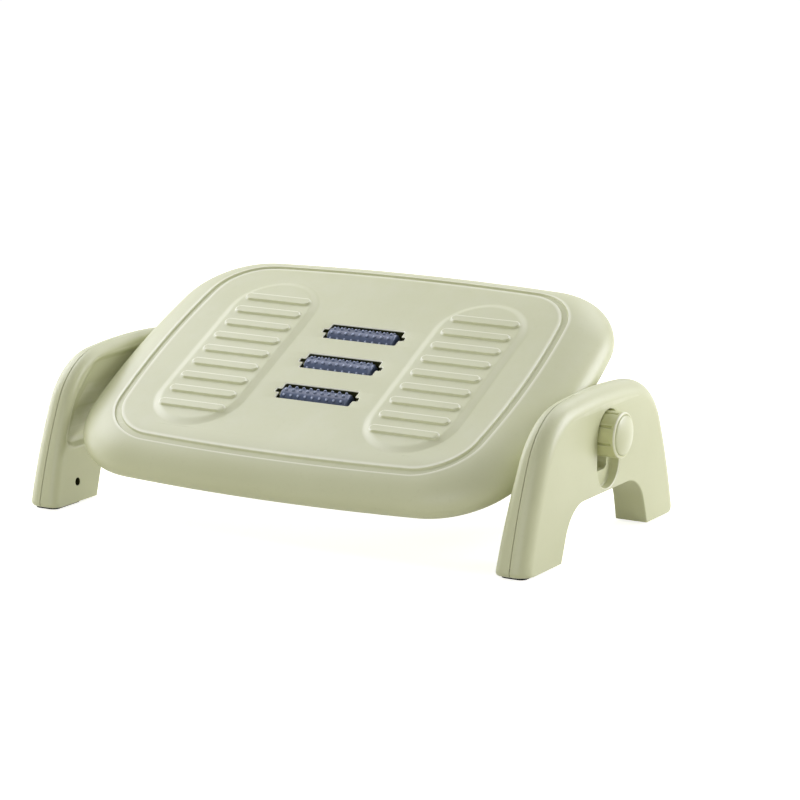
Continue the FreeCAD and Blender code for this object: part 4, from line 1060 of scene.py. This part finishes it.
def buildMouldedGrain():
    # fine texture of a moulded surface and the slow drift of its tone
    group, enter, leave = newGroup(
        "mouldedGrain", {"Grain Scale": 900.0, "Flow Scale": 9.0}, ["Height", "Tone", "Speck"]
    )
    feed(group, leave, {
        "Height": addNoise(group, enter["Grain Scale"], 3.0, 0.6),
        "Tone": mapped(group, addNoise(group, enter["Flow Scale"]), 0.32, 0.68),
        "Speck": mapped(group, addNoise(group, 260.0, 1.0), 0.62, 0.74),
    })
    return group


def buildEdgeWearAndHighlight():
    # proud edges lightened, partly as wear and partly as a painted highlight
    group, enter, leave = newGroup("edgeWearAndHighlight", {"Start": 0.512, "End": 0.56, "Breakup": 60.0}, ["Mask"])
    proud = addNode(group, "ShaderNodeNewGeometry")["Pointiness"]
    edge = mapped(group, proud, enter["Start"], enter["End"])
    rough = mapped(group, addNoise(group, enter["Breakup"]), 0.35, 0.65, 0.4)
    feed(group, leave, {"Mask": times(group, edge, rough)})
    return group


def buildSettledDust():
    # a trace of dust on what faces up
    group, enter, leave = newGroup("settledDust", {"Scale": 45.0}, ["Mask"])
    normal = addNode(group, "ShaderNodeNewGeometry")["Normal"]
    upward = mapped(group, addNode(group, "ShaderNodeSeparateXYZ", {"Vector": normal})["Z"], 0.55, 0.95)
    cloud = mapped(group, addNoise(group, enter["Scale"], 4.0, 0.65), 0.45, 0.75)
    feed(group, leave, {"Mask": times(group, upward, cloud)})
    return group


def buildDrawnLines():
    # long scratches that drawing and turning leave along X
    group, enter, leave = newGroup("drawnLines", {"Fineness": 1600.0}, ["Height", "Mask"])
    place = addNode(group, "ShaderNodeTexCoord")["Object"]
    stretched = addNode(group, "ShaderNodeMapping", {"Vector": place, "Scale": (0.06, 1.0, 1.0)})["Vector"]
    lines = addNode(group, "ShaderNodeTexNoise", {"Vector": stretched, "Scale": enter["Fineness"]})["Fac"]
    feed(group, leave, {"Height": lines, "Mask": mapped(group, lines, 0.3, 0.7)})
    return group


mouldedGrain = buildMouldedGrain()
edgeWearAndHighlight = buildEdgeWearAndHighlight()
settledDust = buildSettledDust()
drawnLines = buildDrawnLines()


def useGroup(tree, group, values=None):
    return addNode(tree, "ShaderNodeGroup", values, node_tree=group)


def srgb(red, green, blue):
    # 0 to 255 as it is seen, to the linear value of a node
    shares = [part / 255 for part in (red, green, blue)]
    return (*[part / 12.92 if part <= 0.04045 else ((part + 0.055) / 1.055) ** 2.4 for part in shares], 1.0)


def mixColour(tree, mask, first, second, strength=1.0):
    if strength < 1:
        mask = times(tree, mask, strength)
    values = {"Factor": mask, "A": first, "B": second}
    return addNode(tree, "ShaderNodeMix", values, data_type="RGBA")["Result"]


def newMaterial(name):
    material = bpy.data.materials.new(name)
    material.use_nodes = True
    tree = material.node_tree
    return material, tree, tree.nodes["Principled BSDF"]


def addBump(tree, shader, height, strength, distance):
    bump = addNode(tree, "ShaderNodeBump", {"Height": height, "Strength": strength, "Distance": distance})
    feed(tree, shader, {"Normal": bump["Normal"]})


def mouldedPlastic(name, look):
    material, tree, shader = newMaterial(name)
    tones = {label: srgb(*look[label]) for label in ("deep", "light", "speck", "wornAndHighlight", "dust")}
    grain = useGroup(tree, mouldedGrain, {"Grain Scale": look["grainScale"], "Flow Scale": look["flowScale"]})
    edge = useGroup(tree, edgeWearAndHighlight)["Mask"]
    dust = useGroup(tree, settledDust)["Mask"]
    highlightMask = addNode(tree, "ShaderNodeAttribute", attribute_name="highlight")["Fac"]
    colour = mixColour(tree, grain["Tone"], tones["deep"], tones["light"])
    colour = mixColour(tree, grain["Speck"], colour, tones["speck"], look["speckShare"])
    # proud edges lightened towards the pale tone: wear and painted highlight
    colour = mixColour(tree, edge, colour, tones["wornAndHighlight"], look["wearAndHighlight"])
    colour = mixColour(tree, dust, colour, tones["dust"], look["dustShare"])
    # painted highlight: the points' highlight share lightens the colour to the pale tone
    colour = mixColour(tree, highlightMask, colour, tones["wornAndHighlight"])
    roughness = mapped(tree, grain["Height"], 0, 1, *look["roughness"])
    feed(tree, shader, {"Base Color": colour, "Roughness": roughness})
    shader.inputs["Specular IOR Level"].default_value = look["specular"]
    shader.inputs["Coat Weight"].default_value = look["coat"]
    shader.inputs["Coat Roughness"].default_value = look["coatRoughness"]
    addBump(tree, shader, grain["Height"], look["bump"], look["bumpDistance"])
    return material


sageLook = {
    "deep": (199, 201, 158), "light": (205, 207, 166), "speck": (186, 188, 142), "speckShare": 0.12,
    "wornAndHighlight": (250, 250, 228), "wearAndHighlight": 0.4, "dust": (222, 222, 212), "dustShare": 0.1,
    "grainScale": 1100.0, "flowScale": 8.0, "roughness": (0.32, 0.46), "specular": 0.4,
    "coat": 0.25, "coatRoughness": 0.45, "bump": 0.12, "bumpDistance": 0.0003,
}
capLook = dict(sageLook, roughness=(0.26, 0.38), bump=0.05)
# painted shade: a darker copy of the sage plastic for the knob grips and the window notch ledges, which lie
# in shade
shadedSageLook = dict(sageLook, deep=(190, 192, 136), light=(197, 199, 144), coat=0.2)
paintedShadeLook = {  # painted shade: a near-black lining for the inside of the wells and holes, where shade falls
    "deep": (44, 46, 18), "light": (52, 54, 24), "speck": (36, 38, 14), "speckShare": 0.2,
    "wornAndHighlight": (120, 122, 84), "wearAndHighlight": 0.3, "dust": (100, 100, 84), "dustShare": 0.1,
    "grainScale": 1000.0, "flowScale": 30.0, "roughness": (0.5, 0.66), "specular": 0.15,
    "coat": 0.0, "coatRoughness": 0.5, "bump": 0.15, "bumpDistance": 0.0003,
}
slateLook = {
    "deep": (58, 72, 98), "light": (70, 86, 114), "speck": (48, 60, 84), "speckShare": 0.2,
    "wornAndHighlight": (164, 176, 200), "wearAndHighlight": 0.5, "dust": (130, 136, 150), "dustShare": 0.06,
    "grainScale": 1500.0, "flowScale": 40.0, "roughness": (0.24, 0.36), "specular": 0.45,
    "coat": 0.15, "coatRoughness": 0.2, "bump": 0.08, "bumpDistance": 0.0002,
}
nylonLook = {
    "deep": (206, 204, 190), "light": (216, 214, 201), "speck": (190, 188, 172), "speckShare": 0.15,
    "wornAndHighlight": (228, 226, 216), "wearAndHighlight": 0.3, "dust": (190, 190, 184), "dustShare": 0.05,
    "grainScale": 900.0, "flowScale": 30.0, "roughness": (0.42, 0.56), "specular": 0.45,
    "coat": 0.0, "coatRoughness": 0.5, "bump": 0.1, "bumpDistance": 0.0002,
}
rubberLook = {
    "deep": (24, 24, 24), "light": (32, 31, 30), "speck": (18, 18, 18), "speckShare": 0.4,
    "wornAndHighlight": (48, 47, 45), "wearAndHighlight": 0.3, "dust": (60, 58, 55), "dustShare": 0.1,
    "grainScale": 700.0, "flowScale": 40.0, "roughness": (0.62, 0.86), "specular": 0.3,
    "coat": 0.0, "coatRoughness": 0.5, "bump": 0.35, "bumpDistance": 0.0005,
}


def turnedMetal(name, look):
    material, tree, shader = newMaterial(name)
    lines = useGroup(tree, drawnLines, {"Fineness": look["fineness"]})
    grain = useGroup(tree, mouldedGrain, {"Grain Scale": 400.0, "Flow Scale": 70.0})
    colour = mixColour(tree, grain["Tone"], srgb(*look["deep"]), srgb(*look["light"]))
    colour = mixColour(tree, lines["Mask"], colour, srgb(*look["line"]), look["lineShare"])
    roughness = mapped(tree, lines["Mask"], 0, 1, *look["roughness"])
    feed(tree, shader, {"Base Color": colour, "Roughness": roughness})
    shader.inputs["Metallic"].default_value = 1.0
    addBump(tree, shader, lines["Height"], 0.1, 0.0001)
    return material


steelLook = {
    "deep": (168, 170, 174), "light": (190, 192, 196), "line": (140, 142, 148), "lineShare": 0.35,
    "fineness": 1600.0, "roughness": (0.24, 0.42),
}
brassLook = {
    "deep": (186, 150, 84), "light": (206, 170, 100), "line": (150, 118, 62), "lineShare": 0.35,
    "fineness": 1400.0, "roughness": (0.26, 0.44),
}

sagePlastic = mouldedPlastic("sagePlastic", sageLook)
capPlastic = mouldedPlastic("capPlastic", capLook)
shadedSagePlastic = mouldedPlastic("shadedSagePlastic", shadedSageLook)
paintedShadePlastic = mouldedPlastic("paintedShadePlastic", paintedShadeLook)
slatePlastic = mouldedPlastic("slatePlastic", slateLook)
nylonPlastic = mouldedPlastic("nylonPlastic", nylonLook)
footRubber = mouldedPlastic("footRubber", rubberLook)
zincSteel = turnedMetal("zincSteel", steelLook)
brassInsert = turnedMetal("brassInsert", brassLook)
print("materials ready")


# Making

makePlate([sagePlastic, paintedShadePlastic, shadedSagePlastic])
print("pedal plate made")
for side in sides:
    makeOuterShell(side, [sagePlastic])
    makeInnerShell(side, [sagePlastic, paintedShadePlastic])
    makeKnob(side, [shadedSagePlastic], [capPlastic])
print("legs and knobs made")
for name in windowRows:
    makeRoller(name, [slatePlastic])
print("rollers made")

finishes = {
    "foot_pad": footRubber, "screws": zincSteel, "bolt": zincSteel, "axle": zincSteel,
    "nut": brassInsert, "washer": nylonPlastic, "bush": nylonPlastic,
}
carriedSmooth = 35
for name, node in frame["nodes"].items():
    for word, material in finishes.items():
        if word in name:
            mesh = node.data
            mesh.materials.clear()
            mesh.materials.append(material)
            mesh.polygons.foreach_set("material_index", np.zeros(len(mesh.polygons), dtype=np.int32))
            smoothByAngle(node, carriedSmooth)
print("carried pieces finished")


# Floor, light and camera

view = {
    "place": (1.39123, -2.40810, 0.67552), "azimuth": 29.1172, "elevation": 11.6766, "roll": 0.6361,
    "lens": 143.91, "sensor": 36.0,
}
studio = {
    "floorSize": 14.0, "floorTone": (0.72, 0.71, 0.59), "ambient": 0.16, "lampColour": (0.98, 0.98, 1.11),
    "nearLift": 0.80, "farLift": 0.92, "liftStart": 0.6, "liftEnd": 2.2,
    "lamps": {
        "leftLamp": {"place": (-2.2, 0.0, 0.9), "size": 1.8, "power": 26.0},
        "leftHighLamp": {"place": (-1.6, 0.2, 1.9), "size": 1.9, "power": 28.0},
        "backHighLamp": {"place": (0.3, 1.6, 2.0), "size": 1.6, "power": 17.0},
        "rightBackLamp": {"place": (1.9, 1.5, 0.9), "size": 1.4, "power": 46.0},
        "frontLamp": {"place": (0.5, -2.4, 0.7), "size": 1.6, "power": 17.0},
    },
}


def cameraRayShare(tree):
    # what the camera, a mirror or clear glass sees straight
    path = addNode(tree, "ShaderNodeLightPath")
    share = path["Is Camera Ray"]
    for label in ("Is Glossy Ray", "Is Transmission Ray"):
        values = {0: share, 1: path[label]}
        share = addNode(tree, "ShaderNodeMath", values, operation="ADD", use_clamp=True)["Value"]
    return share


def makeFloor():
    half = studio["floorSize"] / 2
    mesh = bpy.data.meshes.new("floor")
    corners = [(-half, -half, 0), (half, -half, 0), (half, half, 0), (-half, half, 0)]
    mesh.from_pydata(corners, [], [(0, 1, 2, 3)])
    floor = addThing("floor", mesh)
    material, tree, shader = newMaterial("floorPaper")
    tone = np.array(studio["floorTone"])
    colour = mixColour(tree, addNoise(tree, 3.0), (*tone, 1.0), (*(tone * 1.01), 1.0))
    shader.inputs["Roughness"].default_value = 0.95
    shader.inputs["Specular IOR Level"].default_value = 0.0
    shader.inputs["Emission Color"].default_value = (1, 1, 1, 1)
    # the sheet is lifted to white for the camera, less round the object so that its shadow stays
    place = addNode(tree, "ShaderNodeTexCoord")["Object"]
    away = addNode(tree, "ShaderNodeVectorMath", {0: place}, operation="LENGTH")["Value"]
    ranges = [studio[label] for label in ("liftStart", "liftEnd", "nearLift", "farLift")]
    glow = times(tree, cameraRayShare(tree), mapped(tree, away, *ranges, "SMOOTHSTEP"))
    feed(tree, shader, {"Base Color": colour, "Emission Strength": glow})
    mesh.materials.append(material)


def lightWorld():
    world = bpy.data.worlds.new("studioAir")
    bpy.context.scene.world = world
    world.use_nodes = True
    tree = world.node_tree
    strength = mapped(tree, cameraRayShare(tree), 0, 1, studio["ambient"])
    feed(tree, tree.nodes["Background"], {"Color": (1, 1, 1, 1), "Strength": strength})


def addLamp(name, lamp):
    light = bpy.data.lights.new(name, "AREA")
    light.energy = lamp["power"]
    light.size = lamp["size"]
    light.color = studio["lampColour"]
    thing = addThing(name, light)
    thing.location = lamp["place"]
    thing.rotation_euler = (-Vector(lamp["place"])).to_track_quat("-Z", "Y").to_euler()


def addCamera():
    camera = bpy.data.cameras.new("photoCamera")
    camera.lens = view["lens"]
    camera.sensor_width = view["sensor"]
    camera.sensor_fit = "HORIZONTAL"
    thing = addThing("photoCamera", camera)
    place = Matrix.Translation(view["place"])
    for degrees, axis in ((view["azimuth"], "Z"), (90 - view["elevation"], "X"), (view["roll"], "Z")):
        place = place @ Matrix.Rotation(math.radians(degrees), 4, axis)
    thing.matrix_world = place
    bpy.context.scene.camera = thing


makeFloor()
lightWorld()
for name, lamp in studio["lamps"].items():
    addLamp(name, lamp)
addCamera()
bpy.context.scene.view_settings.view_transform = "Standard"
print("studio ready")
